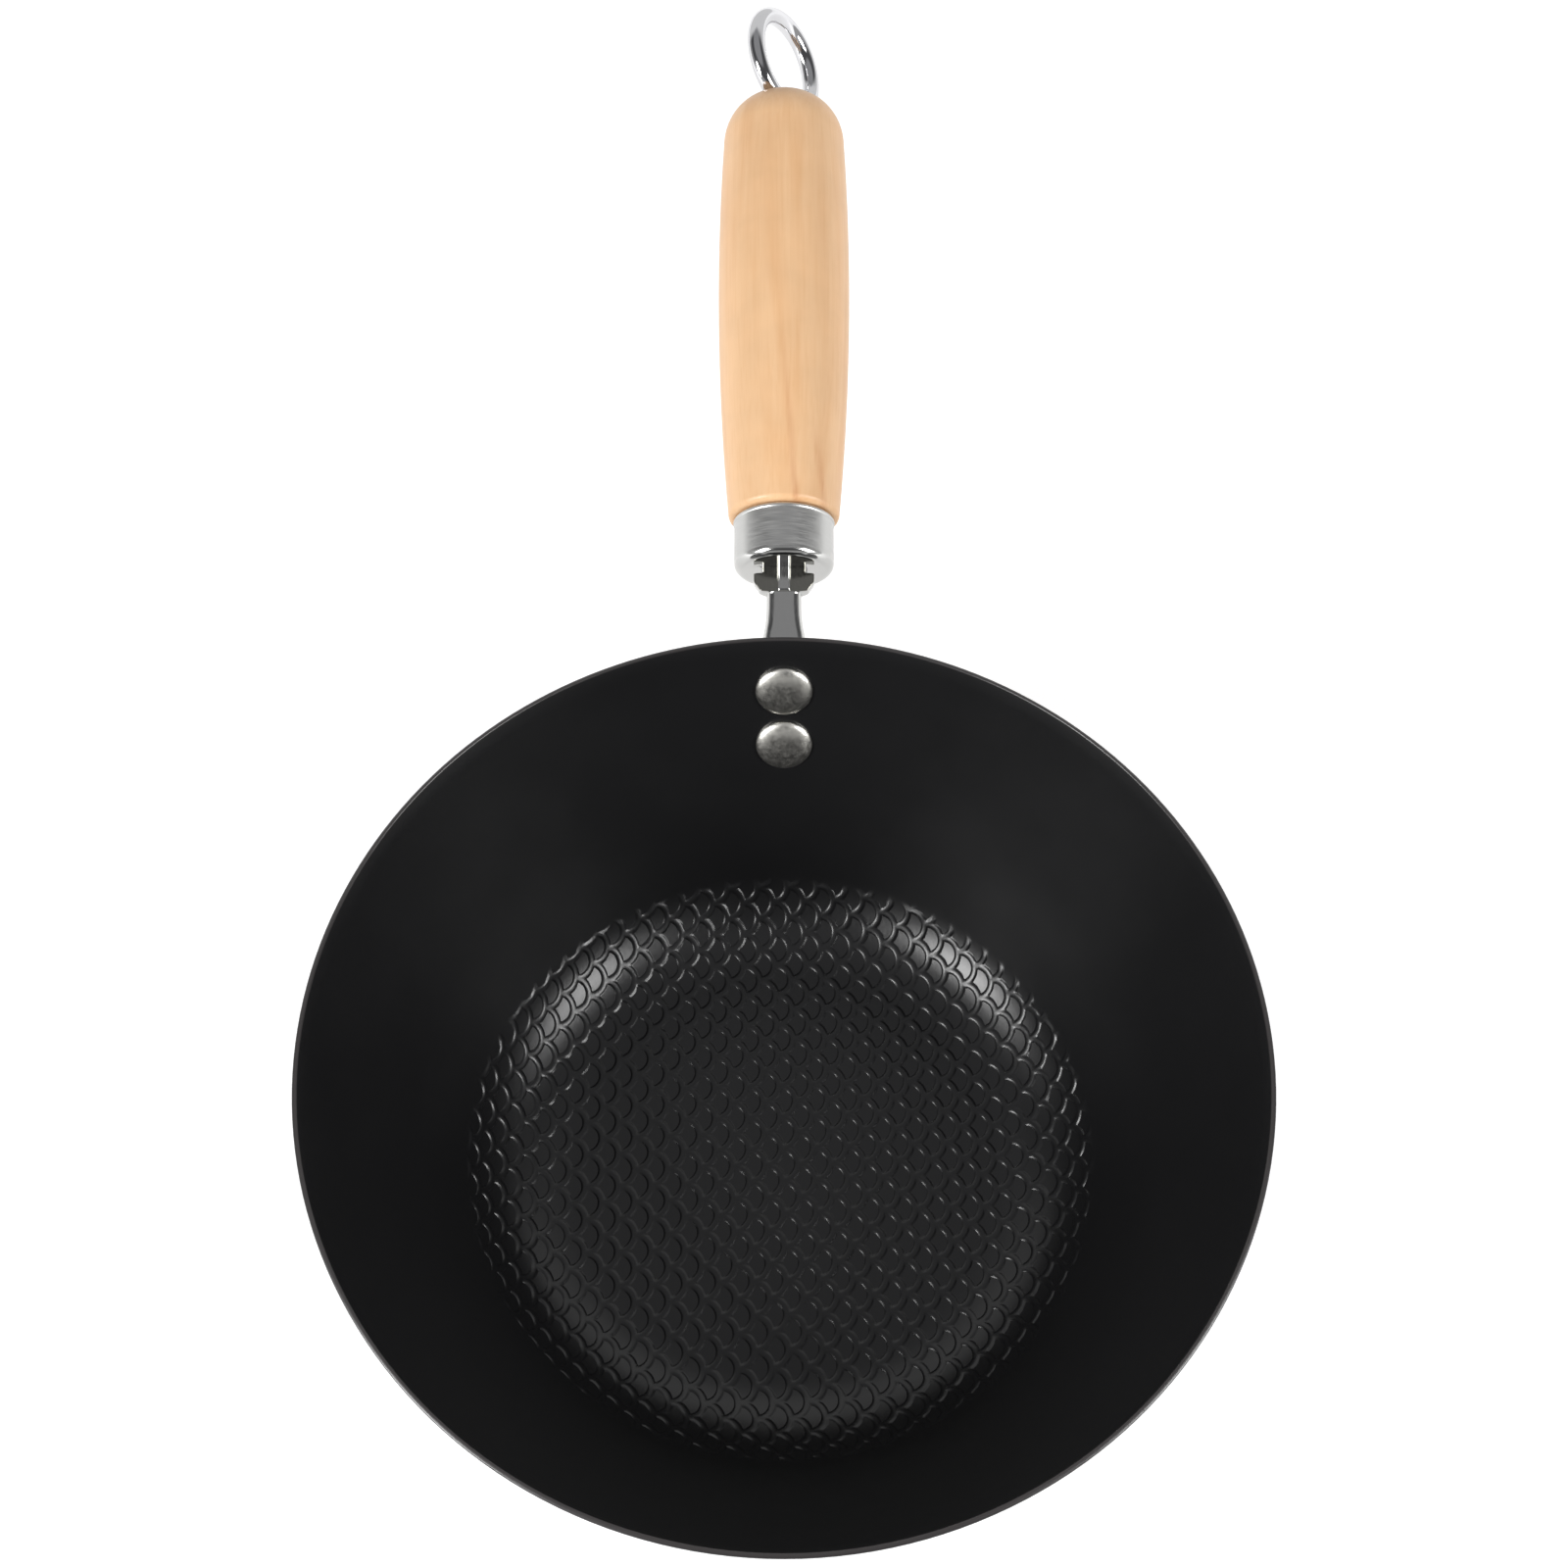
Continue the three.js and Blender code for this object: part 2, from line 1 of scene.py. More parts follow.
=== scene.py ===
"""A coated sheet-iron wok with a wooden handle, laid out as a Blender add-on and run as a script.

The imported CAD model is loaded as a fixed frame. Each operator models one piece in metres, where its
solid stands, gives it its finish and lets it ride on the CAD body that carries it.
"""

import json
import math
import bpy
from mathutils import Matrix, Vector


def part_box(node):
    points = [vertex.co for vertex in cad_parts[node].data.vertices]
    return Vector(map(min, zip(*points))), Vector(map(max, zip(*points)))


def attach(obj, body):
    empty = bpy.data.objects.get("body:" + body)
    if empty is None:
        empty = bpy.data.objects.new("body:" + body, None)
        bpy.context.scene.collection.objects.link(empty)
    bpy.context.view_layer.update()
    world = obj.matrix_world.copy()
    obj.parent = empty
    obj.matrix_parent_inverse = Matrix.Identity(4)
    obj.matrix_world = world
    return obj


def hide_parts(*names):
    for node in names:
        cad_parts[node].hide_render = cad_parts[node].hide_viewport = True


bl_info = {
    "name": "Riveted Wok",
    "version": (1, 0, 0),
    "blender": (4, 5, 0),
    "location": "3D View > Sidebar > Wok",
    "description": "Models a coated sheet-iron wok with a riveted bracket and a wooden handle",
    "category": "Object",
}

import bmesh
import bpy
from bpy.props import FloatProperty, FloatVectorProperty, PointerProperty
from mathutils import Matrix, Vector

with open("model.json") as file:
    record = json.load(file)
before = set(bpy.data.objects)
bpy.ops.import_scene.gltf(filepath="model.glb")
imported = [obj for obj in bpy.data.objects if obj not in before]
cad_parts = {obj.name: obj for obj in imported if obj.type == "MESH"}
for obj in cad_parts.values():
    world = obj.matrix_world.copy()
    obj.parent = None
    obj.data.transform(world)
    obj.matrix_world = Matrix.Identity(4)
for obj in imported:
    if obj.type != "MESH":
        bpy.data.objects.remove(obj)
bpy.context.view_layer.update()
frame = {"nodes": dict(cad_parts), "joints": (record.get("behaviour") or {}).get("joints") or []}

MM = 0.001
BOWL_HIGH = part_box("bowl")[1]
TIE_ROD = frame["joints"][0]
HANDLE_START = Vector(TIE_ROD["pos_m"])
HANDLE_RISE = math.asin(TIE_ROD["axis"][2])

# The handle's own frame: Y runs along it from the ferrule's face and Z stands square to it.
HANDLE_FRAME = Matrix.Translation(HANDLE_START) @ Matrix.Rotation(HANDLE_RISE, 4, "X")

QUARTER = math.pi / 2
BOWL_SIDES = 192
TURNED_SIDES = 96
WIRE_SIDES = 32
SCALE_SIDES = 20

# Gap that stands in for a tight seat between two pieces.
CLEAR = 0.3 * MM


def linear(hexa):
    """The linear red, green and blue of an sRGB hex colour."""
    channels = [int(hexa[i:i + 2], 16) / 255 for i in (0, 2, 4)]
    return [c / 12.92 if c <= 0.04045 else ((c + 0.055) / 1.055) ** 2.4 for c in channels]


def length(name, description, millimetres):
    """A length that a user can set, in metres, given here in millimetres."""
    return FloatProperty(
        name=name, description=description, default=millimetres * MM, unit="LENGTH", precision=5
    )


def angle(name, description, degrees):
    """An angle that a user can set, in radians, given here in degrees."""
    return FloatProperty(
        name=name, description=description, default=math.radians(degrees), subtype="ANGLE"
    )


def colour(name, description, hexa):
    """A colour that a user can set, given here as sRGB hex."""
    return FloatVectorProperty(
        name=name, description=description, default=linear(hexa), subtype="COLOR", min=0, max=1
    )


class WokBowlSettings(bpy.types.PropertyGroup):
    """Sizes and colours of the pressed bowl and its rivets"""

    rim: length("Rim", "Inside diameter at the rim", 217.7)
    height: FloatProperty(
        name="Height", description="From the table to the rim", default=BOWL_HIGH.z, unit="LENGTH"
    )
    base: length("Base", "Diameter of the flat base, inside", 107.4)
    knuckle: length("Knuckle", "Radius between base and wall, inside", 28)
    bend: angle("Bend", "Slope of the wall where the knuckle ends", 59)
    sheet: length("Sheet", "Thickness of the iron with its coat", 1.2)
    edge: length("Edge", "Rounding of the trimmed rim", 0.4)
    pitch: length("Scale pitch", "Repeat of the pressed scales across the bowl", 8.45)
    pitch_along: length("Scale pitch along", "Repeat of the pressed scales along the handle", 8.7)
    ridge: length("Ridge height", "How far the ridges between the scales stand up", 0.3)
    ridge_top: length("Ridge top", "Half the width of a ridge's crowned top", 0.68)
    ridge_foot: length("Ridge foot", "Half the width of a ridge at its foot", 1.0)
    net: length("Net along", "How far the scales reach towards the handle, along the surface", 80.3)
    net_across: length("Net across", "How far the scales reach sideways, along the surface", 84.4)
    net_aside: length("Net aside", "How far the scales' outline stands off the bowl's axis", -1.5)
    net_turn: angle("Net turn", "How far the rows are turned from the handle's line", 2)
    first_across: length("First scale across", "Where the net's first scale lies across the bowl", -0.6)
    first_along: length("First scale along", "Where the net's first scale lies along the handle", 0.4)
    rivet_from_rim: length("Upper rivet", "Down the wall from the rim", 16.1)
    rivet_pitch: length("Rivet pitch", "From one rivet to the next", 17)
    rivet_head: length("Rivet head", "Diameter of a head inside the bowl", 14.6)
    rivet_dome: length("Rivet dome", "Height of a head", 1.8)
    coat: colour("Coat", "Black non-stick coat", "121213")
    # Colour of the top of the trimmed rim: a dark grey, lighter than the coat.
    rim_top_grey: colour("Rim edge", "Thin coat on the trimmed edge", "312E2E")
    rivet_steel: colour("Rivets", "Polished steel", "E2E0D9")


class WokHandleSettings(bpy.types.PropertyGroup):
    """Sizes and colours of the bracket, ferrule, grip and hanging eye"""

    strap: length("Strap", "Sheet thickness of the bracket", 1.8)
    stem: length("Stem", "Width of the bracket's stem", 9)
    head: length("Head", "Width of the bracket's notched head", 15.6)
    head_length: length("Head length", "From the end of the stem to the ferrule's face", 6.7)
    head_up: length("Head height", "From the handle's axis to the flat of the head", 3.5)
    neck: length("Neck", "Width of the bracket inside the ferrule", 11.2)
    plate: length("Plate", "Width of the plate on the bowl's wall", 22)
    ferrule: length("Ferrule", "Outside diameter", 26.2)
    ferrule_length: length("Ferrule length", "Along the handle", 14)
    grip_length: length("Grip length", "From the ferrule to the end", 125.3)
    grip_front: length("Grip front", "Diameter at the ferrule", 28.5)
    grip_belly: length("Grip belly", "Largest diameter", 35)
    grip_belly_at: length("Belly place", "From the grip's front to its belly", 71)
    eye: length("Eye", "Diameter of the ring along the middle of its wire", 26.35)
    wire: length("Wire", "Diameter of the ring's wire and the tie rod", 4.78)
    eye_turn: angle("Eye turn", "How far the ring is turned at rest", 55)
    plate_steel: colour("Bracket", "Bright plate on stamped steel", "CACAC8")
    # Painted shade: a darker colour for the flat of the head, in place of the dark reflection it shows.
    plate_painted_shade: colour("Bracket head", "Duller plate on the flat of the head", "908F88")
    ferrule_steel: colour("Ferrule", "Bright drawn steel", "C8C8C6")
    chrome: colour("Eye", "Chrome on the wire", "D4D4D6")
    zinc: colour("Nut", "Zinc plate", "A9A9A6")
    wood: colour("Wood", "Pale lacquered hardwood", "DEB58A")
    wood_dark: colour("Grain", "Darker growth in the wood", "D3A170")
    wood_streak: colour("Streaks", "Reddish streaks in the wood", "BE8054")


class WokStageSettings(bpy.types.PropertyGroup):
    """Camera, floor and studio light"""

    camera_back: length("Camera back", "How far the camera stands in front of the bowl's axis", 180.6)
    camera_height: length("Camera height", "Above the table", 512.9)
    camera_tilt: angle("Camera tilt", "Up from straight down", 29.92)
    lens: FloatProperty(
        name="Lens", description="Focal length", default=47.36, subtype="DISTANCE_CAMERA"
    )
    softbox: length("Softbox", "Width of each softbox", 420)
    softbox_height: length("Softbox height", "Height of each softbox", 560)
    softbox_away: length("Softbox distance", "From each softbox to the object", 1150)
    softbox_rise: angle("Softbox rise", "Elevation of each softbox over the bowl", 29.5)
    softbox_power: FloatProperty(
        name="Softbox power", description="What each softbox has its share of", default=10.0, unit="POWER"
    )
    floor: colour("Floor", "Pale floor", "CECECE")
    sweep: colour("Sweep", "Pale grey of the studio at the object's height", "BEBEBE")
    gap: colour("Gap", "Dark of the studio between sweep and ceiling", "5C5C5E")
    board: colour("Board", "White board behind the handle", "FFFFFF")
    ceiling: colour("Ceiling", "Grey of the studio overhead", "A8A8AA")


# Nodes and finishes


def add(tree, kind, inputs=None, **settings):
    """Adds a node with its settings, and a value or a link on each named input."""
    node = tree.nodes.new(kind)
    for name, value in settings.items():
        setattr(node, name, value)
    for name, value in (inputs or {}).items():
        socket = node.inputs[name]
        if isinstance(value, bpy.types.NodeSocket):
            tree.links.new(value, socket)
        else:
            socket.default_value = value
    return node


def start_finish(name):
    """A new material with an empty node tree, and its Object coordinates."""
    material = bpy.data.materials.new(name)
    material.use_nodes = True
    tree = material.node_tree
    tree.nodes.clear()
    return material, tree, add(tree, "ShaderNodeTexCoord").outputs["Object"]


def end_finish(tree, shader):
    """Links a shader to the material's output."""
    add(tree, "ShaderNodeOutputMaterial", {"Surface": shader.outputs["BSDF"]})


def handle_coordinates(tree, place):
    """Object coordinates laid along the handle, in metres: X across, Y along, Z up."""
    back = HANDLE_FRAME.inverted()
    return add(tree, "ShaderNodeMapping", {
        "Vector": place,
        "Location": back.translation,
        "Rotation": back.to_euler(),
    }).outputs["Vector"]


def non_stick_finish(bowl):
    """Sprayed PTFE coat on pressed iron: a satin black with a faint orange peel, and a wide soft sheen
    where it faces a light. The top of the trimmed rim is coloured a dark grey, lighter than the coat."""
    material, tree, place = start_finish("sprayed_non_stick_coat")
    cloud = add(tree, "ShaderNodeTexNoise", {"Vector": place, "Scale": 1 / (24 * MM), "Detail": 3})
    peel = add(tree, "ShaderNodeTexNoise", {"Vector": place, "Scale": 1 / (0.8 * MM), "Detail": 2})
    roughness = add(tree, "ShaderNodeMapRange", {
        "Value": cloud.outputs["Fac"], "From Min": 0.3, "From Max": 0.7, "To Min": 0.3, "To Max": 0.34,
    })
    bump = add(tree, "ShaderNodeBump", {
        "Height": peel.outputs["Fac"], "Strength": 0.35, "Distance": 0.02 * MM,
    })
    height = add(tree, "ShaderNodeSeparateXYZ", {"Vector": place}).outputs["Z"]
    # The top half millimetre of the rim takes the lighter dark grey.
    edge_foot = bowl.height - 0.62 * MM
    edge_top = bowl.height - 0.1 * MM
    rim_top = add(tree, "ShaderNodeMapRange", {"Value": height, "From Min": edge_foot, "From Max": edge_top})
    tint = add(tree, "ShaderNodeMix", {
        0: rim_top.outputs["Result"], 6: (*bowl.coat, 1), 7: (*bowl.rim_top_grey, 1),
    }, data_type="RGBA")
    end_finish(tree, add(tree, "ShaderNodeBsdfPrincipled", {
        "Base Color": tint.outputs[2],
        "Roughness": roughness.outputs["Result"],
        "IOR": 1.55,
        "Normal": bump.outputs["Normal"],
    }))
    return material


def polished_rivet_finish(bowl):
    """Tumbled and polished steel: a bright mirror, softened by fine rubbing marks."""
    material, tree, place = start_finish("polished_rivet_steel")
    rub = add(tree, "ShaderNodeTexNoise", {"Vector": place, "Scale": 1 / (1.1 * MM), "Detail": 4})
    roughness = add(tree, "ShaderNodeMapRange", {
        "Value": rub.outputs["Fac"], "From Min": 0.3, "From Max": 0.7, "To Min": 0.28, "To Max": 0.4,
    })
    bump = add(tree, "ShaderNodeBump", {
        "Height": rub.outputs["Fac"], "Strength": 0.3, "Distance": 0.03 * MM,
    })
    end_finish(tree, add(tree, "ShaderNodeBsdfPrincipled", {
        "Base Color": (*bowl.rivet_steel, 1),
        "Metallic": 1.0,
        "Roughness": roughness.outputs["Result"],
        "Normal": bump.outputs["Normal"],
    }))
    return material


def plated_steel_finish(handle):
    """Nickel-chrome plate over stamped steel: a grey mirror with the slight waves and scratches that
    pressing leaves. The flat of the head, beside its rib, has painted shade: a darker colour that stands in
    for the dark reflection it shows."""
    material, tree, place = start_finish("plated_stamped_steel")
    along = handle_coordinates(tree, place)
    wave = add(tree, "ShaderNodeTexNoise", {"Vector": along, "Scale": 1 / (3.5 * MM), "Detail": 1})
    drawn = add(tree, "ShaderNodeMapping", {"Vector": along, "Scale": (1, 0.12, 1)})
    scratch = add(tree, "ShaderNodeTexNoise", {
        "Vector": drawn.outputs["Vector"], "Scale": 1 / (0.35 * MM), "Detail": 3,
    })
    roughness = add(tree, "ShaderNodeMapRange", {
        "Value": scratch.outputs["Fac"], "From Min": 0.35, "From Max": 0.7, "To Min": 0.1, "To Max": 0.24,
    })
    spread = add(tree, "ShaderNodeSeparateXYZ", {"Vector": along}).outputs
    front, flat = -handle.head_length, handle.head_up
    # Painted shade: the flat of the head, off its rib and lips, takes the darker colour that stands in for
    # its dark reflection.
    on_head = add(tree, "ShaderNodeMapRange", {
        "Value": spread["Y"], "From Min": front - 0.1 * MM, "From Max": front + 0.2 * MM,
    })
    off_lip = add(tree, "ShaderNodeMapRange", {
        "Value": spread["Z"], "From Min": flat - 0.5 * MM, "From Max": flat - 0.15 * MM,
        "To Max": on_head.outputs["Result"],
    })
    off_rib = add(tree, "ShaderNodeMapRange", {
        "Value": spread["Z"], "From Min": flat + 0.06 * MM, "From Max": flat + 0.2 * MM,
        "To Min": off_lip.outputs["Result"], "To Max": 0.0,
    })
    tint = add(tree, "ShaderNodeMix", {
        0: off_rib.outputs["Result"], 6: (*handle.plate_steel, 1), 7: (*handle.plate_painted_shade, 1),
    }, data_type="RGBA")
    swell = add(tree, "ShaderNodeBump", {
        "Height": wave.outputs["Fac"], "Strength": 0.5, "Distance": 0.12 * MM,
    })
    bump = add(tree, "ShaderNodeBump", {
        "Height": scratch.outputs["Fac"], "Strength": 0.3, "Distance": 0.02 * MM,
        "Normal": swell.outputs["Normal"],
    })
    end_finish(tree, add(tree, "ShaderNodeBsdfPrincipled", {
        "Base Color": tint.outputs[2],
        "Metallic": 1.0,
        "Roughness": roughness.outputs["Result"],
        "Normal": bump.outputs["Normal"],
    }))
    return material


def ferrule_finish(handle):
    """Bright drawn steel: the side is brushed round, which spreads each reflection along the handle,
    and the end face is a polished mirror."""
    material, tree, place = start_finish("brushed_ferrule_steel")
    along = handle_coordinates(tree, place)
    step = add(tree, "ShaderNodeSeparateXYZ", {"Vector": along}).outputs["Y"]
    side = add(tree, "ShaderNodeMapRange", {
        "Value": step, "From Min": 0.8 * MM, "From Max": 2.4 * MM,
    })
    rings = add(tree, "ShaderNodeMapping", {"Vector": along, "Scale": (0.05, 1, 0.05)})
    brush = add(tree, "ShaderNodeTexNoise", {
        "Vector": rings.outputs["Vector"], "Scale": 1 / (0.3 * MM), "Detail": 3,
    })
    marks = add(tree, "ShaderNodeMapRange", {
        "Value": brush.outputs["Fac"], "From Min": 0.3, "From Max": 0.7, "To Min": 0.3, "To Max": 0.46,
    })
    roughness = add(tree, "ShaderNodeMix", {
        0: side.outputs["Result"], 2: 0.07, 3: marks.outputs["Result"],
    }, data_type="FLOAT")
    relief = add(tree, "ShaderNodeMath", {
        0: brush.outputs["Fac"], 1: side.outputs["Result"],
    }, operation="MULTIPLY")
    bump = add(tree, "ShaderNodeBump", {
        "Height": relief.outputs["Value"], "Strength": 0.25, "Distance": 0.03 * MM,
    })
    end_finish(tree, add(tree, "ShaderNodeBsdfPrincipled", {
        "Base Color": (*handle.ferrule_steel, 1),
        "Metallic": 1.0,
        "Roughness": roughness.outputs[0],
        "Normal": bump.outputs["Normal"],
    }))
    return material


def chrome_finish(handle):
    """Chrome on drawn wire: a clear bright mirror with a trace of haze."""
    material, tree, place = start_finish("chromed_wire")
    haze = add(tree, "ShaderNodeTexNoise", {"Vector": place, "Scale": 1 / (2.5 * MM), "Detail": 2})
    roughness = add(tree, "ShaderNodeMapRange", {
        "Value": haze.outputs["Fac"], "From Min": 0.3, "From Max": 0.7, "To Min": 0.05, "To Max": 0.1,
    })
    end_finish(tree, add(tree, "ShaderNodeBsdfPrincipled", {
        "Base Color": (*handle.chrome, 1),
        "Metallic": 1.0,
        "Roughness": roughness.outputs["Result"],
    }))
    return material


def zinc_finish(handle):
    """Zinc plate on a cold-formed nut: dull bright grey with a fine mottle."""
    material, tree, place = start_finish("zinc_plated_nut")
    mottle = add(tree, "ShaderNodeTexNoise", {"Vector": place, "Scale": 1 / (0.9 * MM), "Detail": 3})
    roughness = add(tree, "ShaderNodeMapRange", {
        "Value": mottle.outputs["Fac"], "From Min": 0.3, "From Max": 0.7, "To Min": 0.3, "To Max": 0.48,
    })
    end_finish(tree, add(tree, "ShaderNodeBsdfPrincipled", {
        "Base Color": (*handle.zinc, 1),
        "Metallic": 1.0,
        "Roughness": roughness.outputs["Result"],
    }))
    return material


def wood_finish(handle):
    """Pale close-grained hardwood, turned, sanded and lacquered: soft lengthwise growth bands, fine
    fibres, two reddish streaks near the ferrule and a satin gloss."""
    material, tree, place = start_finish("lacquered_hardwood")
    along = handle_coordinates(tree, place)

    warp = add(tree, "ShaderNodeMapping", {"Vector": along, "Scale": (1, 0.06, 1)})
    growth = add(tree, "ShaderNodeTexNoise", {
        "Vector": warp.outputs["Vector"], "Scale": 1 / (4.5 * MM), "Detail": 3, "Distortion": 0.4,
    })
    thread = add(tree, "ShaderNodeMapping", {"Vector": along, "Scale": (1, 0.025, 1)})
    fibre = add(tree, "ShaderNodeTexNoise", {
        "Vector": thread.outputs["Vector"], "Scale": 1 / (0.55 * MM), "Detail": 3,
    })
    blotch = add(tree, "ShaderNodeTexNoise", {"Vector": along, "Scale": 1 / (9 * MM), "Detail": 2})

    band = add(tree, "ShaderNodeMapRange", {
        "Value": growth.outputs["Fac"], "From Min": 0.42, "From Max": 0.72, "To Min": 0.0, "To Max": 0.6,
    })
    pale = add(tree, "ShaderNodeMix", {
        0: band.outputs["Result"], 6: (*handle.wood, 1), 7: (*handle.wood_dark, 1),
    }, data_type="RGBA")
    line = add(tree, "ShaderNodeMapRange", {
        "Value": fibre.outputs["Fac"], "From Min": 0.5, "From Max": 0.78, "To Min": 0.0, "To Max": 0.4,
    })
    grained = add(tree, "ShaderNodeMix", {
        0: line.outputs["Result"], 6: pale.outputs[2], 7: (*handle.wood_dark, 1),
    }, data_type="RGBA")
    flush = add(tree, "ShaderNodeMapRange", {
        "Value": blotch.outputs["Fac"], "From Min": 0.3, "From Max": 0.7, "To Min": 0.97, "To Max": 1.03,
    })
    toned = add(tree, "ShaderNodeVectorMath", {
        0: grained.outputs[2], "Scale": flush.outputs["Result"],
    }, operation="SCALE")

    spread = add(tree, "ShaderNodeSeparateXYZ", {"Vector": along}).outputs
    waver = add(tree, "ShaderNodeMapRange", {
        "Value": growth.outputs["Fac"], "To Min": -1 * MM, "To Max": 1 * MM,
    })
    tone = toned.outputs["Vector"]
    # Each streak's place across at the ferrule, lean, half width, reach along the handle, and strength.
    streaks = ((3.1, -0.08, 1.5, 66, 0.8), (10.2, -0.11, 1.6, 38, 0.7))
    full_to = 20 * MM
    for across, lean, width, reach, strength in streaks:
        middle = add(tree, "ShaderNodeMath", {
            0: spread["Y"], 1: lean, 2: across * MM - lean * handle.ferrule_length,
        }, operation="MULTIPLY_ADD")
        wavy = add(tree, "ShaderNodeMath", {
            0: middle.outputs["Value"], 1: waver.outputs["Result"],
        }, operation="ADD")
        gap = add(tree, "ShaderNodeMath", {
            0: spread["X"], 1: wavy.outputs["Value"],
        }, operation="SUBTRACT")
        off = add(tree, "ShaderNodeMath", {0: gap.outputs["Value"]}, operation="ABSOLUTE")
        beside = add(tree, "ShaderNodeMapRange", {
            "Value": off.outputs["Value"], "From Min": 0.0, "From Max": width * MM,
            "To Min": strength, "To Max": 0.0,
        }, interpolation_type="SMOOTHSTEP")
        fade = add(tree, "ShaderNodeMapRange", {
            "Value": spread["Y"], "From Min": full_to, "From Max": reach * MM, "To Min": 1.0, "To Max": 0.0,
        })
        upper = add(tree, "ShaderNodeMath", {0: spread["Z"], 1: 0.0}, operation="GREATER_THAN")
        shown = add(tree, "ShaderNodeMath", {
            0: beside.outputs["Result"], 1: fade.outputs["Result"],
        }, operation="MULTIPLY")
        grain = add(tree, "ShaderNodeMath", {
            0: shown.outputs["Value"], 1: fibre.outputs["Fac"],
        }, operation="MULTIPLY")
        mask = add(tree, "ShaderNodeMath", {
            0: grain.outputs["Value"], 1: upper.outputs["Value"],
        }, operation="MULTIPLY")
        tone = add(tree, "ShaderNodeMix", {
            0: mask.outputs["Value"], 6: tone, 7: (*handle.wood_streak, 1),
        }, data_type="RGBA").outputs[2]

    bump = add(tree, "ShaderNodeBump", {
        "Height": fibre.outputs["Fac"], "Strength": 0.15, "Distance": 0.03 * MM,
    })
    end_finish(tree, add(tree, "ShaderNodeBsdfPrincipled", {
        "Base Color": tone,
        "Roughness": 0.5,
        "Coat Weight": 0.25,
        "Coat Roughness": 0.28,
        "Normal": bump.outputs["Normal"],
    }))
    return material


# Mesh helpers


def spin_profile(bm, points, sides, axis):
    """Turns a run of (radius, height) points a full round about Y or Z."""
    if axis == "Z":
        places = [(radius, 0, height) for radius, height in points]
    else:
        places = [(radius, height, 0) for radius, height in points]
    verts = [bm.verts.new(place) for place in places]
    edges = [bm.edges.new(pair) for pair in zip(verts, verts[1:])]
    bmesh.ops.spin(
        bm, geom=verts + edges, cent=(0, 0, 0), axis=(0, 0, 1) if axis == "Z" else (0, 1, 0),
        angle=2 * math.pi, steps=sides, use_merge=True,
    )


def arc(centre_r, centre_h, radius_r, radius_h, start, end, steps):
    """Points of (radius, height) along part of an ellipse."""
    turns = [start + (end - start) * i / steps for i in range(steps + 1)]
    return [(centre_r + radius_r * math.cos(t), centre_h + radius_h * math.sin(t)) for t in turns]


def close_shell(bm):
    """Merges seams and poles, and points every face outwards."""
    bmesh.ops.remove_doubles(bm, verts=bm.verts, dist=0.001 * MM)
    bmesh.ops.recalc_face_normals(bm, faces=bm.faces)


def place_piece(bm, name, body, material, nodes, sharp=35):
    """Makes a mesh object of a shell and seats it on its CAD body, in place of its CAD nodes."""
    for face in bm.faces:
        face.smooth = True
    for edge in bm.edges:
        edge.smooth = edge.calc_face_angle(0) < math.radians(sharp)
    mesh = bpy.data.meshes.new(name)
    bm.to_mesh(mesh)
    bm.free()
    mesh.materials.append(material)
    piece = bpy.data.objects.new(name, mesh)
    bpy.context.scene.collection.objects.link(piece)
    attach(piece, body)
    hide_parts(*nodes)
    return piece


class BowlSection:
    """The bowl's section: base, knuckle and wall as one run along the inner face from the axis."""

    def __init__(self, bowl):
        self.sheet = bowl.sheet
        self.flat = bowl.base / 2
        self.knuckle = bowl.knuckle
        self.bend = bowl.bend
        self.foot = (
            self.flat + self.knuckle * math.sin(self.bend),
            self.sheet + self.knuckle * (1 - math.cos(self.bend)),
        )
        across = bowl.rim / 2 - self.foot[0]
        up = bowl.height - self.foot[1]
        half_turn = math.atan2(up, across) - self.bend
        self.wall = math.hypot(across, up) / (2 * math.sin(half_turn))
        self.wall_start = self.flat + self.knuckle * self.bend
        self.rim = self.wall_start + self.wall * 2 * half_turn

    def at(self, run, proud=0.0):
        """Radius, height and slope at a run from the axis, standing proud of the inner face."""
        if run <= self.flat:
            slope = 0.0
            radius, height = run, self.sheet
        elif run <= self.wall_start:
            slope = (run - self.flat) / self.knuckle
            radius = self.flat + self.knuckle * math.sin(slope)
            height = self.sheet + self.knuckle * (1 - math.cos(slope))
        else:
            slope = self.bend + (run - self.wall_start) / self.wall
            radius = self.foot[0] + self.wall * (math.sin(slope) - math.sin(self.bend))
            height = self.foot[1] + self.wall * (math.cos(self.bend) - math.cos(slope))
        return radius - proud * math.sin(slope), height + proud * math.cos(slope), slope


# Bowl


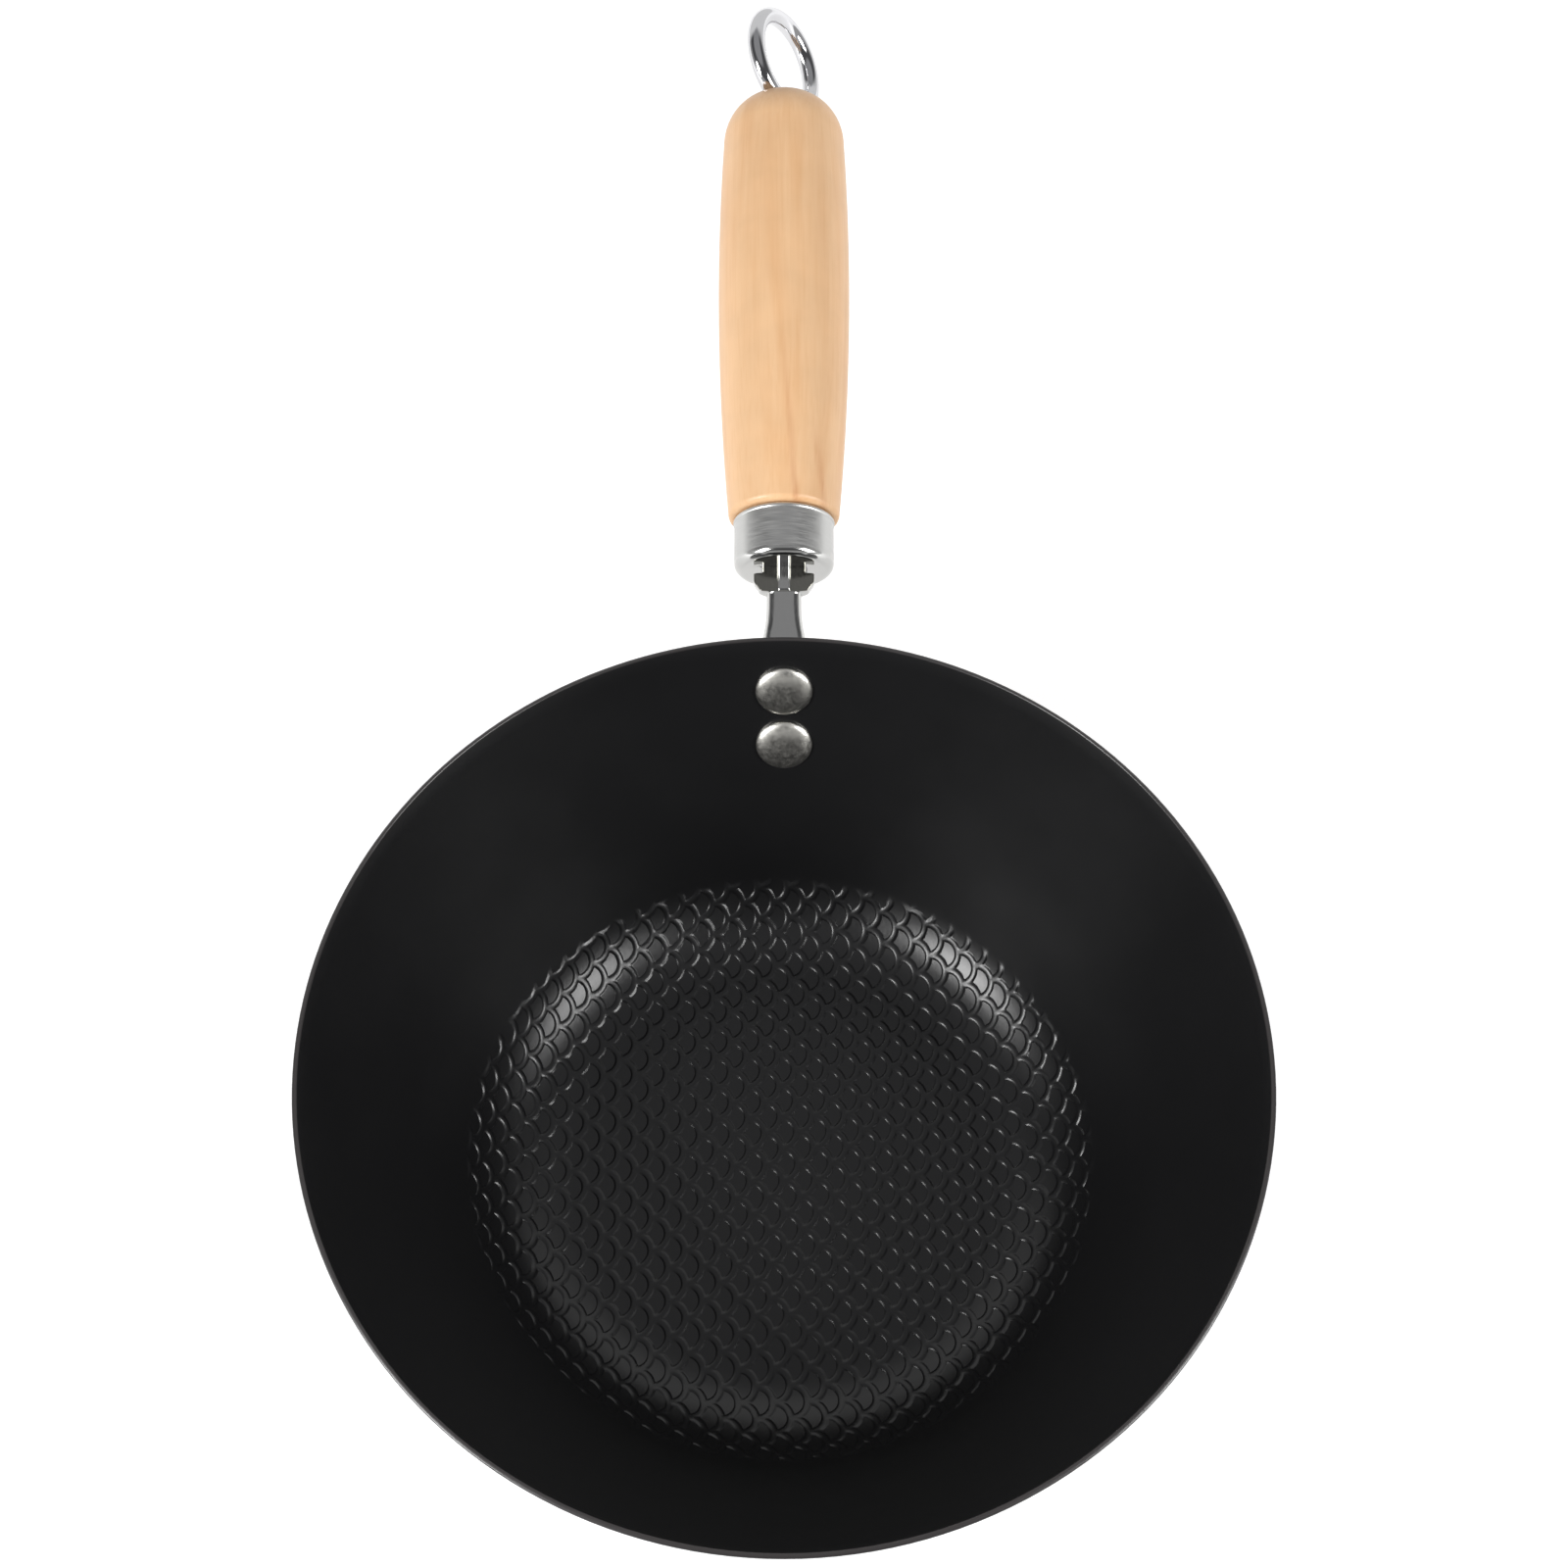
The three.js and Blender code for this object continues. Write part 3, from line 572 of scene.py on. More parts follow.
def draw_scale(vert, bowl):
    """Moves a point of a plain disc to its place in a fish scale with a round front, two hollow sides
    and a point behind, and lifts it where the ridge along the scale's outline stands."""
    radius = bowl.pitch / 2
    lead = vert.co.xy.length
    inset = max(0, radius - lead)
    turn = math.atan2(vert.co.y, vert.co.x)
    if lead < radius / 3:
        vert.co = (radius / 3, 0, 0)
        return
    corner = 1.5 * QUARTER - math.acos((radius - 2 * inset) / (math.sqrt(2) * lead))
    if abs(turn) <= QUARTER:
        front = corner * turn / QUARTER
        vert.co = (lead * math.cos(front), lead * math.sin(front), 0)
    else:
        share = abs(turn) / QUARTER - 1
        start = math.atan2(lead * math.sin(corner) - radius, lead * math.cos(corner) + radius)
        end = -math.asin(radius / (radius + inset))
        swing = start + (end - start) * share
        side = math.copysign(1, turn)
        vert.co.x = (radius + inset) * math.cos(swing) - radius
        vert.co.y = side * (radius + (radius + inset) * math.sin(swing))
    crown = 1 - 0.25 * min(1, inset / bowl.ridge_top) ** 2
    fall = (inset - bowl.ridge_top) / (bowl.ridge_foot - bowl.ridge_top)
    vert.co.z = bowl.ridge * crown * (1 - min(1, max(0, fall)))


def net_share(place, bowl):
    """How far out a place is in the net's outline: 1 on the outline itself."""
    return math.hypot((place.x - bowl.net_aside) / bowl.net_across, place.y / bowl.net)


def copy_scales(bm, geometry, step):
    """Copies scales to a place further on and returns the copy."""
    copy = bmesh.ops.duplicate(bm, geom=geometry)["geom"]
    verts = [part for part in copy if isinstance(part, bmesh.types.BMVert)]
    bmesh.ops.translate(bm, verts=verts, vec=step)
    return copy


def press_scales(bm, bowl):
    """Lays one scale, copies it to a strip, and copies as much of the strip as each row of the net
    takes, all still flat."""
    radius = bowl.pitch / 2
    disc = bmesh.ops.create_circle(bm, cap_ends=True, segments=SCALE_SIDES, radius=radius)
    middle = disc["verts"][0].link_faces[0]
    done = 0
    floor = (bowl.ridge_foot + radius * 2 / 3) / 2
    for inset in (bowl.ridge_top / 2, bowl.ridge_top, bowl.ridge_foot, bowl.ridge_foot * 1.15, floor):
        step = (inset - done) * math.cos(math.pi / SCALE_SIDES)
        bmesh.ops.inset_region(
            bm, faces=[middle], thickness=step, use_boundary=True, use_even_offset=True,
        )
        done = inset
    bmesh.ops.poke(bm, faces=[middle])
    for vert in bm.verts:
        draw_scale(vert, bowl)
    long = bowl.pitch_along / bowl.pitch
    bmesh.ops.scale(bm, vec=(1, long, 1), verts=bm.verts)

    count = math.ceil(bowl.net_across / bowl.pitch) + 1
    strip = [bm.verts[:] + bm.edges[:] + bm.faces[:]]
    for column in range(1, 2 * count + 1):
        strip.append(copy_scales(bm, strip[0], (column * bowl.pitch, 0, 0)))
    turn = Matrix.Rotation(bowl.net_turn, 3, "Z")
    shift = Vector((bowl.first_across, bowl.first_along, 0))
    reach = 1 + 0.6 * bowl.pitch / bowl.net
    for step in range(-2 * count, 2 * count + 1):
        first = Vector((step % 2 * radius - count * bowl.pitch, step * radius * long, 0))
        row = []
        for column, scale in enumerate(strip):
            centre = turn @ (first + Vector((column * bowl.pitch, 0, 0))) + shift
            if net_share(centre, bowl) < reach:
                row += scale
        if row:
            copy_scales(bm, row, first)
    verts = [part for scale in strip for part in scale if isinstance(part, bmesh.types.BMVert)]
    bmesh.ops.delete(bm, geom=verts)
    bmesh.ops.rotate(bm, verts=bm.verts, cent=(0, 0, 0), matrix=turn)
    bmesh.ops.translate(bm, verts=bm.verts, vec=shift)
    bmesh.ops.remove_doubles(bm, verts=bm.verts, dist=0.002 * MM)


def curve_to_bowl(bm, section, bowl, brim):
    """Ends the ridges at the net's edge, fills out to a plain ring and curves it all to the bowl."""
    fade = 0.7 * MM / bowl.net
    for vert in bm.verts:
        vert.co.z *= min(1, max(0, (1 - net_share(vert.co, bowl)) / fade))
    ragged = [edge for edge in bm.edges if edge.is_boundary]
    ring = bmesh.ops.create_circle(bm, segments=BOWL_SIDES, radius=brim)["verts"]
    outer = list({edge for vert in ring for edge in vert.link_edges})
    bmesh.ops.triangle_fill(bm, use_beauty=True, edges=ragged + outer, normal=(0, 0, 1))
    for vert in bm.verts:
        run = vert.co.xy.length
        radius, height, _ = section.at(run, vert.co.z)
        share = radius / run if run > 0 else 1
        vert.co = (vert.co.x * share, vert.co.y * share, height)


class WOK_OT_bowl(bpy.types.Operator):
    """Presses the bowl, with its net of scales, its trimmed rim and its plain outside"""

    bl_idname = "wok.bowl"
    bl_label = "Bowl"

    def execute(self, context):
        bowl = context.scene.wok_bowl
        section = BowlSection(bowl)
        brim = bowl.net_across + bowl.pitch * 1.35
        bm = bmesh.new()
        press_scales(bm, bowl)
        curve_to_bowl(bm, section, bowl, brim)

        edge = bowl.edge
        points = []
        steps = 14
        for i in range(steps + 1):
            points.append(section.at(brim + (section.rim - edge - brim) * i / steps)[:2])
        for i in range(1, 5):
            turn = QUARTER * i / 4
            run = section.rim - edge + edge * math.sin(turn)
            points.append(section.at(run, edge * math.cos(turn) - edge)[:2])
        for i in range(5):
            turn = QUARTER * i / 4
            run = section.rim - edge + edge * math.cos(turn)
            points.append(section.at(run, edge - bowl.sheet - edge * math.sin(turn))[:2])
        for i in range(1, steps + 1):
            run = section.rim - edge + (section.wall_start - section.rim + edge) * i / steps
            points.append(section.at(run, -bowl.sheet)[:2])
        for i in range(1, steps + 1):
            run = section.wall_start + (section.flat - section.wall_start) * i / steps
            points.append(section.at(run, -bowl.sheet)[:2])
        points.append(section.at(section.flat - edge, -bowl.sheet)[:2])
        points.append((0, 0))
        spin_profile(bm, points, BOWL_SIDES, "Z")
        close_shell(bm)
        place_piece(bm, "wok_bowl", "pan", non_stick_finish(bowl), ["bowl"])
        return {"FINISHED"}


class WOK_OT_rivets(bpy.types.Operator):
    """Sets the two rivets through the wall and the bracket's plate"""

    bl_idname = "wok.rivets"
    bl_label = "Rivets"

    def execute(self, context):
        bowl = context.scene.wok_bowl
        handle = context.scene.wok_handle
        section = BowlSection(bowl)
        material = polished_rivet_finish(bowl)
        head = bowl.rivet_head / 2
        dome = bowl.rivet_dome
        tail = 5.25 * MM
        tail_dome = 2.2 * MM
        tail_seat = -(bowl.sheet + handle.strap + 2 * CLEAR)
        shank = 2.6 * MM
        seat = 0.15 * MM
        skirt = 0.35 * MM
        crown = 0.16 * head
        top = dome + 0.525 * MM
        for name, down in (("rivet_upper", 0), ("rivet_lower", bowl.rivet_pitch)):
            bm = bmesh.new()
            points = arc(0, tail_seat, tail, tail_dome, -QUARTER, 0, 10)
            points += [(shank, tail_seat), (shank, seat), (head - 0.1 * MM, seat)]
            points += arc(crown, seat + skirt, head - crown, top - seat - skirt, 0, QUARTER, 20)
            points += [(0, top)]
            points[0] = (0, points[0][1])
            spin_profile(bm, points, TURNED_SIDES // 2, "Z")
            close_shell(bm)
            radius, height, slope = section.at(section.rim - bowl.rivet_from_rim - down)
            seat_frame = Matrix.Translation((0, radius, height)) @ Matrix.Rotation(slope, 4, "X")
            bmesh.ops.transform(bm, matrix=seat_frame, verts=bm.verts)
            place_piece(bm, f"wok_{name}", "pan", material, [name])
        return {"FINISHED"}


# Bracket


def strap_columns(half, depth, edge, rib):
    """Points across the strap, as (across, drop): flange, rounded edge, flat and rib, mirrored."""
    edge = min(edge, 0.5 * half)
    bent = min(1, depth / (1.5 * edge))
    rib_half = min(1.6 * MM, 0.6 * (half - edge))
    flat = [(0, 0), (edge * 0.25, 0), (edge * 0.6, 0), (edge, 0)]
    turned = [(0, depth), (0, edge), (edge * 0.293, edge * 0.293), (edge, 0)]
    left = []
    for (flat_in, _), (turned_in, drop) in zip(flat, turned):
        left.append((-half + flat_in + (turned_in - flat_in) * bent, drop * bent))
    left.append((-(half - edge + rib_half) / 2, 0))
    left.append((-rib_half * 1.15, 0))
    left.append((-rib_half, 0))
    left.append((-rib_half * 0.8, -rib))
    left.append((-rib_half * 0.65, -rib))
    return left + [(0, -rib)] + [(-across, drop) for across, drop in reversed(left)]


def bracket_rows(bowl, handle):
    """Rows along the strap from the plate's lower end to the lug, as place in Y and Z, direction, half
    width, flange depth, edge rounding, rib height and how closely the row hugs the round wall."""
    section = BowlSection(bowl)
    lift = -(bowl.sheet + CLEAR)
    plate = handle.plate / 2
    shoulder = 7.5 * MM
    stem = handle.stem / 2
    stem_edge = 2.2 * MM
    bend = 6 * MM
    bend_from_rim = 7.5 * MM
    bend_depth = 2.4 * MM
    stem_depth = 4.4 * MM
    flare = 1.3 * MM
    upper = bowl.rivet_from_rim
    lower = upper + bowl.rivet_pitch
    rows = []
    for share in (0.995, 0.97, 0.9, 0.78, 0.6, 0.38, 0.15):
        down = lower + plate * share
        rows.append((down, plate * math.sqrt(1 - share * share)))
    rows += [(lower, plate), ((lower + upper) / 2, plate), (upper, plate)]
    rows += [(upper - 1.5 * MM, plate * 0.97), (upper - 3 * MM, plate * 0.86)]
    rows += [(upper - 5 * MM, plate * 0.74), (upper - 7.5 * MM, shoulder)]
    made = []
    for down, half in rows:
        radius, height, slope = section.at(section.rim - down, lift)
        made.append(((radius, height), slope, half, 0, stem_edge, 0, 1))

    foot_r, foot_z, foot_slope = section.at(section.rim - bend_from_rim, lift)
    centre = (foot_r + bend * math.sin(foot_slope), foot_z - bend * math.cos(foot_slope))
    head_up = handle.head_up
    head_long = handle.head_length
    head_start = HANDLE_FRAME @ Vector((0, -head_long, head_up))
    to_head = (head_start.y - centre[0], head_start.z - centre[1])
    stem_slope = math.atan2(to_head[1], to_head[0]) - math.asin(bend / math.hypot(*to_head))
    for i in range(7):
        share = i / 6
        slope = foot_slope + (stem_slope - foot_slope) * share
        place = (centre[0] - bend * math.sin(slope), centre[1] + bend * math.cos(slope))
        half = shoulder + (stem - shoulder) * 0.7 * math.sin(share * QUARTER)
        made.append((place, slope, half, bend_depth * share, stem_edge, 0, 1 - share))
    start = made[-1][0]
    for share in (0.12, 0.3, 0.55, 0.88):
        place = tuple(a + (b - a) * share for a, b in zip(start, (head_start.y, head_start.z)))
        half = stem + flare * max(0, 1 - share / 0.7) ** 2
        depth = bend_depth + (stem_depth - bend_depth) * min(1, share / 0.3)
        made.append((place, stem_slope, half, depth, stem_edge, 0, 0))

    def on_handle(along, up, slope, half, depth, edge, rib):
        """Adds a row that is placed in the handle's own frame."""
        place = HANDLE_FRAME @ Vector((0, along, up))
        made.append(((place.y, place.z), HANDLE_RISE + slope, half, depth, edge, rib, 0))

    head = handle.head / 2
    neck = handle.neck / 2
    shoulder_gap = 1.6 * MM
    rib = 0.5 * MM
    crisp = 0.5 * MM
    lip = 2.8 * MM
    stem_end = 4.2 * MM
    half_turn = (stem_slope - HANDLE_RISE) / 2
    on_handle(-head_long, head_up, half_turn, stem, stem_end, stem_edge, 0)
    on_handle(-head_long + 0.15 * MM, head_up, 0, stem + 0.1 * MM, stem_end, 1.4 * MM, 0)
    corner = stem + 0.55 * (head - stem)
    for along, half in ((0.3, corner - 0.2 * MM), (0.5, corner), (0.8, corner + 0.15 * MM)):
        on_handle(-head_long + along * MM, head_up, 0, half, lip, crisp, rib * along / 0.8)
    for along, half in ((2.4, head - 0.15 * MM), (2.8, head), (3.8, head)):
        on_handle(-head_long + along * MM, head_up, 0, half, lip, crisp, rib)
    on_handle(-shoulder_gap - 0.25 * MM, head_up, 0, head, lip, crisp, rib)
    on_handle(-shoulder_gap - 0.05 * MM, head_up, 0, head, lip, crisp, rib)
    flange = 1.8 * MM
    for along in (-shoulder_gap, -shoulder_gap + 0.2 * MM, 0.6 * MM, 1.4 * MM):
        on_handle(along, head_up, 0, neck, flange, crisp, rib)
    top = 6.2 * MM
    rear = 9.6 * MM
    lug_end = -5.6 * MM
    turn_radius = 2.8 * MM
    on_handle(3.2 * MM, top, 0, neck, flange, crisp, 0)
    for i in range(6):
        turn = QUARTER * i / 5
        along = rear - turn_radius + turn_radius * math.sin(turn)
        up = top - turn_radius + turn_radius * math.cos(turn)
        on_handle(along, up, -turn, neck, 0, crisp, 0)
    on_handle(rear, lug_end, -QUARTER, neck, 0, crisp, 0)
    return made


class WOK_OT_bracket(bpy.types.Operator):
    """Stamps the handle bracket from a strip: plate, bend, channel stem, notched head and tang"""

    bl_idname = "wok.bracket"
    bl_label = "Handle bracket"

    def execute(self, context):
        bowl = context.scene.wok_bowl
        handle = context.scene.wok_handle
        rows = bracket_rows(bowl, handle)
        columns = len(strap_columns(1, 0, 1, 0))
        bm = bmesh.new()
        bmesh.ops.create_grid(bm, x_segments=columns - 1, y_segments=len(rows) - 1, size=1)
        for vert in bm.verts:
            column = round((vert.co.x + 1) / 2 * (columns - 1))
            row = round((vert.co.y + 1) / 2 * (len(rows) - 1))
            (y, z), slope, half, depth, edge, rib, hug = rows[row]
            across, drop = strap_columns(half, depth, edge, rib)[column]
            y += drop * math.sin(slope)
            z -= drop * math.cos(slope)
            y += (math.sqrt(y * y - across * across) - y) * hug
            vert.co = (across, y, z)
        bmesh.ops.recalc_face_normals(bm, faces=bm.faces)
        if sum(face.normal.z for face in bm.faces) < 0:
            bmesh.ops.reverse_faces(bm, faces=bm.faces)
        piece = place_piece(
            bm, "wok_handle_bracket", "pan", plated_steel_finish(handle),
            ["handle_bracket"], sharp=180,
        )
        smooth = piece.modifiers.new("Drawn form", "SUBSURF")
        smooth.levels = smooth.render_levels = 2
        sheet = piece.modifiers.new("Sheet", "SOLIDIFY")
        sheet.thickness = handle.strap
        sheet.offset = -1
        sheet.use_quality_normals = True
        rounded = piece.modifiers.new("Sheared edge", "BEVEL")
        rounded.width = 0.35 * MM
        rounded.segments = 2
        rounded.limit_method = "ANGLE"
        rounded.angle_limit = math.radians(60)
        return {"FINISHED"}


class WOK_OT_ferrule(bpy.types.Operator):
    """Draws the ferrule cap and pierces the opening for the bracket's tang"""

    bl_idname = "wok.ferrule"
    bl_label = "Ferrule"

    def execute(self, context):
        handle = context.scene.wok_handle
        radius = handle.ferrule / 2
        long = handle.ferrule_length
        wall = 0.9 * MM
        end = 1 * MM
        rounding = 2.1 * MM
        bead = 0.75 * MM
        body = radius - 0.25 * MM
        face = body - rounding
        inner = 9.6 * MM
        points = [(inner, 0), (face - 0.08 * MM, 0)]
        points += arc(face, rounding, rounding, rounding, -QUARTER, 0, 12)
        start = -math.acos((body - radius + bead) / bead)
        points.append((body, rounding + 0.1 * MM))
        points.append((body, long - bead + bead * math.sin(start) - 0.05 * MM))
        points += arc(radius - bead, long - bead, bead, bead, start, QUARTER, 10)
        points += [(radius - wall, long), (radius - wall, end), (inner, end)]
        bm = bmesh.new()
        spin_profile(bm, points, TURNED_SIDES, "Y")
        bmesh.ops.remove_doubles(bm, verts=bm.verts, dist=0.001 * MM)
        rings = [edge for edge in bm.edges if edge.is_boundary]

        half = handle.neck / 2 + 0.4 * MM
        low, high = -6 * MM, 4.3 * MM
        corner = 1.5 * MM
        outlines = []
        for along in (0, end):
            corners = bmesh.ops.create_grid(bm, x_segments=1, y_segments=1, size=1)["verts"]
            for vert in corners:
                across = half if vert.co.x > 0 else -half
                vert.co = (across, along, high if vert.co.y > 0 else low)
            rounded = bmesh.ops.bevel(
                bm, geom=corners, offset=corner, offset_type="OFFSET", affect="VERTICES",
                segments=6, profile=0.5, material=-1,
            )
            sheet = rounded["verts"][0].link_faces[0]
            outlines.append(sheet.edges[:])
            bmesh.ops.delete(bm, geom=[sheet], context="FACES_ONLY")
        for along, outline in zip((0, end), outlines):
            ring = [edge for edge in rings if abs(edge.verts[0].co.y - along) < 0.1 * MM]
            bmesh.ops.bridge_loops(bm, edges=ring + outline)
        bmesh.ops.bridge_loops(bm, edges=outlines[0] + outlines[1])

        close_shell(bm)
        bmesh.ops.transform(bm, matrix=HANDLE_FRAME, verts=bm.verts)
        place_piece(bm, "wok_ferrule", "pan", ferrule_finish(handle), ["ferrule"])
        return {"FINISHED"}


def eye_places(handle):
    """Where the grip starts and ends, and where the eye's centre is, along the handle."""
    front = handle.ferrule_length + CLEAR
    end = front + handle.grip_length
    outer = handle.eye / 2 + handle.wire / 2
    sunk = 2.7 * MM
    return front, end, end + outer + CLEAR - sunk


class WOK_OT_grip(bpy.types.Operator):
    """Turns the wooden grip: barrel, domed end with a dish for the eye, spigot and bore"""

    bl_idname = "wok.grip"
    bl_label = "Grip"

    def execute(self, context):
        handle = context.scene.wok_handle
        front, end, eye = eye_places(handle)
        front_radius = handle.grip_front / 2
        belly_radius = handle.grip_belly / 2
        rise = belly_radius - front_radius
        sweep = (handle.grip_belly_at ** 2 + rise ** 2) / (2 * rise)
        belly = front + handle.grip_belly_at
        edge = 1.6 * MM
        dome = 13.5 * MM
        flat = 4 * MM
        bore = handle.wire / 2 + CLEAR
        ferrule_wall = 0.9 * MM
        spigot = handle.ferrule / 2 - ferrule_wall - CLEAR
        spigot_front = front - 11.5 * MM
        pocket = 8.75 * MM
        pocket_end = 10 * MM
        dish = handle.eye / 2 + handle.wire / 2 + CLEAR

        def barrel(along):
            """The barrel's radius at a place along the handle."""
            return belly_radius - sweep + math.sqrt(sweep ** 2 - (along - belly) ** 2)

        dome_start = end - dome
        points = [(bore, pocket_end), (pocket, pocket_end), (pocket, spigot_front)]
        points += [(spigot - 0.5 * MM, spigot_front), (spigot, spigot_front + 0.5 * MM)]
        points += [(spigot, front), (spigot + 0.2 * MM, front)]
        points += arc(barrel(front + edge) - edge, front + edge, edge, edge, -QUARTER, 0, 8)
        for i in range(1, 48):
            along = front + edge + (dome_start - front - edge) * i / 48
            points.append((barrel(along), along))
        crown = arc(flat, dome_start, barrel(dome_start) - flat, dome, 0, QUARTER, 40)
        crown.append((bore, end))
        points += [spot for spot in crown if math.hypot(spot[0], spot[1] - eye) > dish]
        brink = math.atan2(points[-1][0], eye - points[-1][1])
        for i in range(1, 13):
            turn = brink + (math.asin(bore / dish) - brink) * i / 12
            points.append((dish * math.sin(turn), eye - dish * math.cos(turn)))
        points.append((bore, pocket_end))
        bm = bmesh.new()
        spin_profile(bm, points, TURNED_SIDES, "Y")
        close_shell(bm)
        bmesh.ops.transform(bm, matrix=HANDLE_FRAME, verts=bm.verts)
        place_piece(bm, "wok_grip", "pan", wood_finish(handle), ["grip"])
        return {"FINISHED"}


class WOK_OT_eye(bpy.types.Operator):
    """Bends the hanging eye from wire and runs it on as the tie rod"""

    bl_idname = "wok.eye"
    bl_label = "Hanging eye"

    def execute(self, context):
        handle = context.scene.wok_handle
        _, _, eye = eye_places(handle)
        wire = handle.wire / 2
        ring = handle.eye / 2
        bm = bmesh.new()
        section = bmesh.ops.create_circle(bm, segments=WIRE_SIDES, radius=wire)["verts"]
        bmesh.ops.rotate(bm, verts=section, cent=(0, 0, 0), matrix=Matrix.Rotation(-QUARTER, 3, "X"))
        bmesh.ops.translate(bm, verts=section, vec=(ring, eye, 0))
        edges = list({edge for vert in section for edge in vert.link_edges})
        bmesh.ops.spin(
            bm, geom=section + edges, cent=(0, eye, 0), axis=(0, 0, 1),
            angle=2 * math.pi, steps=TURNED_SIDES, use_merge=True,
        )
        rod_end = 2 * MM
        tip = 0.6 * MM
        points = [(0, rod_end), (wire - tip, rod_end), (wire, rod_end + tip)]
        points += [(wire, eye - ring), (0, eye - ring)]
        spin_profile(bm, points, WIRE_SIDES, "Y")
        close_shell(bm)
        bmesh.ops.rotate(
            bm, verts=bm.verts, cent=(0, 0, 0), matrix=Matrix.Rotation(handle.eye_turn, 3, "Y"),
        )
        bmesh.ops.transform(bm, matrix=HANDLE_FRAME, verts=bm.verts)
        place_piece(bm, "wok_hanging_eye", "eye", chrome_finish(handle), ["hanging_eye"])
        return {"FINISHED"}


class WOK_OT_nut(bpy.types.Operator):
    """Plates the nut that anchors the tie rod inside the ferrule"""

    bl_idname = "wok.nut"
    bl_label = "Rod nut"

    def execute(self, context):
        nut = frame["nodes"]["rod_nut"]
        nut.data.materials.clear()
        nut.data.materials.append(zinc_finish(context.scene.wok_handle))
        return {"FINISHED"}


# Stage


class WOK_OT_stage(bpy.types.Operator):
    """Sets the floor, the studio light and the camera"""

    bl_idname = "wok.stage"
    bl_label = "Stage"

    def execute(self, context):
        scene = context.scene
        stage = scene.wok_stage
        scene.view_settings.view_transform = "Standard"

        half_floor = 6
        floor_drop = 0.3 * MM
        bm = bmesh.new()
        bmesh.ops.create_grid(bm, x_segments=1, y_segments=1, size=half_floor)
        bmesh.ops.translate(bm, verts=bm.verts, vec=(0, 0, -floor_drop))
        mesh = bpy.data.meshes.new("floor")
        bm.to_mesh(mesh)
        bm.free()
        floor = bpy.data.objects.new("floor", mesh)
        scene.collection.objects.link(floor)

        # Matt white paper: it takes the object's shadow, and it glows a little to the eye and to
        # metal, more so far off, so that it looks white without lighting the object.
        paper = bpy.data.materials.new("white_paper")
        paper.use_nodes = True
        tree = paper.node_tree
        tree.nodes.clear()
        rays = add(tree, "ShaderNodeLightPath").outputs
        direct = add(tree, "ShaderNodeMath", {
            0: rays["Is Camera Ray"], 1: rays["Is Transmission Ray"],
        }, operation="MAXIMUM")
        seen = add(tree, "ShaderNodeMath", {
            0: direct.outputs["Value"], 1: rays["Is Glossy Ray"],
        }, operation="MAXIMUM")
        place = add(tree, "ShaderNodeTexCoord").outputs["Object"]
        away = add(tree, "ShaderNodeVectorMath", {0: place}, operation="LENGTH")
        near, far = 0.4, 1.2
        near_glow = 0.55
        fade = add(tree, "ShaderNodeMapRange", {
            "Value": away.outputs["Value"], "From Min": near, "From Max": far, "To Min": near_glow,
        }, interpolation_type="SMOOTHSTEP")
        lift = add(tree, "ShaderNodeMath", {
            0: seen.outputs["Value"], 1: fade.outputs["Result"],
        }, operation="MULTIPLY")
        matt = add(tree, "ShaderNodeBsdfDiffuse", {"Color": (*stage.floor, 1)})
        glow = add(tree, "ShaderNodeEmission", {"Strength": lift.outputs["Value"]})
        both = add(tree, "ShaderNodeAddShader", {
            0: matt.outputs["BSDF"], 1: glow.outputs["Emission"],
        })
        add(tree, "ShaderNodeOutputMaterial", {"Surface": both.outputs["Shader"]})
        mesh.materials.append(paper)

        # Studio: a pale sweep all round at the height of the object, a dark gap above it, a grey
        # ceiling, and a white board behind the handle that fills in the near side of the bowl.
        world = bpy.data.worlds.new("studio")
        world.use_nodes = True
        tree = world.node_tree
        tree.nodes.clear()
        facing = add(tree, "ShaderNodeTexCoord").outputs["Generated"]
        towards = add(tree, "ShaderNodeSeparateXYZ", {"Vector": facing}).outputs
        over_sweep = add(tree, "ShaderNodeMapRange", {
            "Value": towards["Z"], "From Min": 0.25, "From Max": 0.45,
        }, interpolation_type="SMOOTHSTEP")
        overhead = add(tree, "ShaderNodeMapRange", {
            "Value": towards["Z"], "From Min": 0.76, "From Max": 0.88,
        }, interpolation_type="SMOOTHSTEP")
        behind = add(tree, "ShaderNodeMapRange", {
            "Value": towards["Y"], "From Min": 0.3, "From Max": 0.6,
        }, interpolation_type="SMOOTHSTEP")
        sides = add(tree, "ShaderNodeMix", {
            0: over_sweep.outputs["Result"], 6: (*stage.sweep, 1), 7: (*stage.gap, 1),
        }, data_type="RGBA")
        around = add(tree, "ShaderNodeMix", {
            0: behind.outputs["Result"], 6: sides.outputs[2], 7: (*stage.board, 1),
        }, data_type="RGBA")
        room = add(tree, "ShaderNodeMix", {
            0: overhead.outputs["Result"], 6: around.outputs[2], 7: (*stage.ceiling, 1),
        }, data_type="RGBA")
        level = 0.8
        studio = add(tree, "ShaderNodeBackground", {"Color": room.outputs[2], "Strength": level})
        white = add(tree, "ShaderNodeBackground", {"Color": (1, 1, 1, 1), "Strength": 1.0})
        camera_ray = add(tree, "ShaderNodeLightPath").outputs["Is Camera Ray"]
        mixed = add(tree, "ShaderNodeMixShader", {
            0: camera_ray, 1: studio.outputs["Background"], 2: white.outputs["Background"],
        })
        add(tree, "ShaderNodeOutputWorld", {"Surface": mixed.outputs["Shader"]})
        scene.world = world

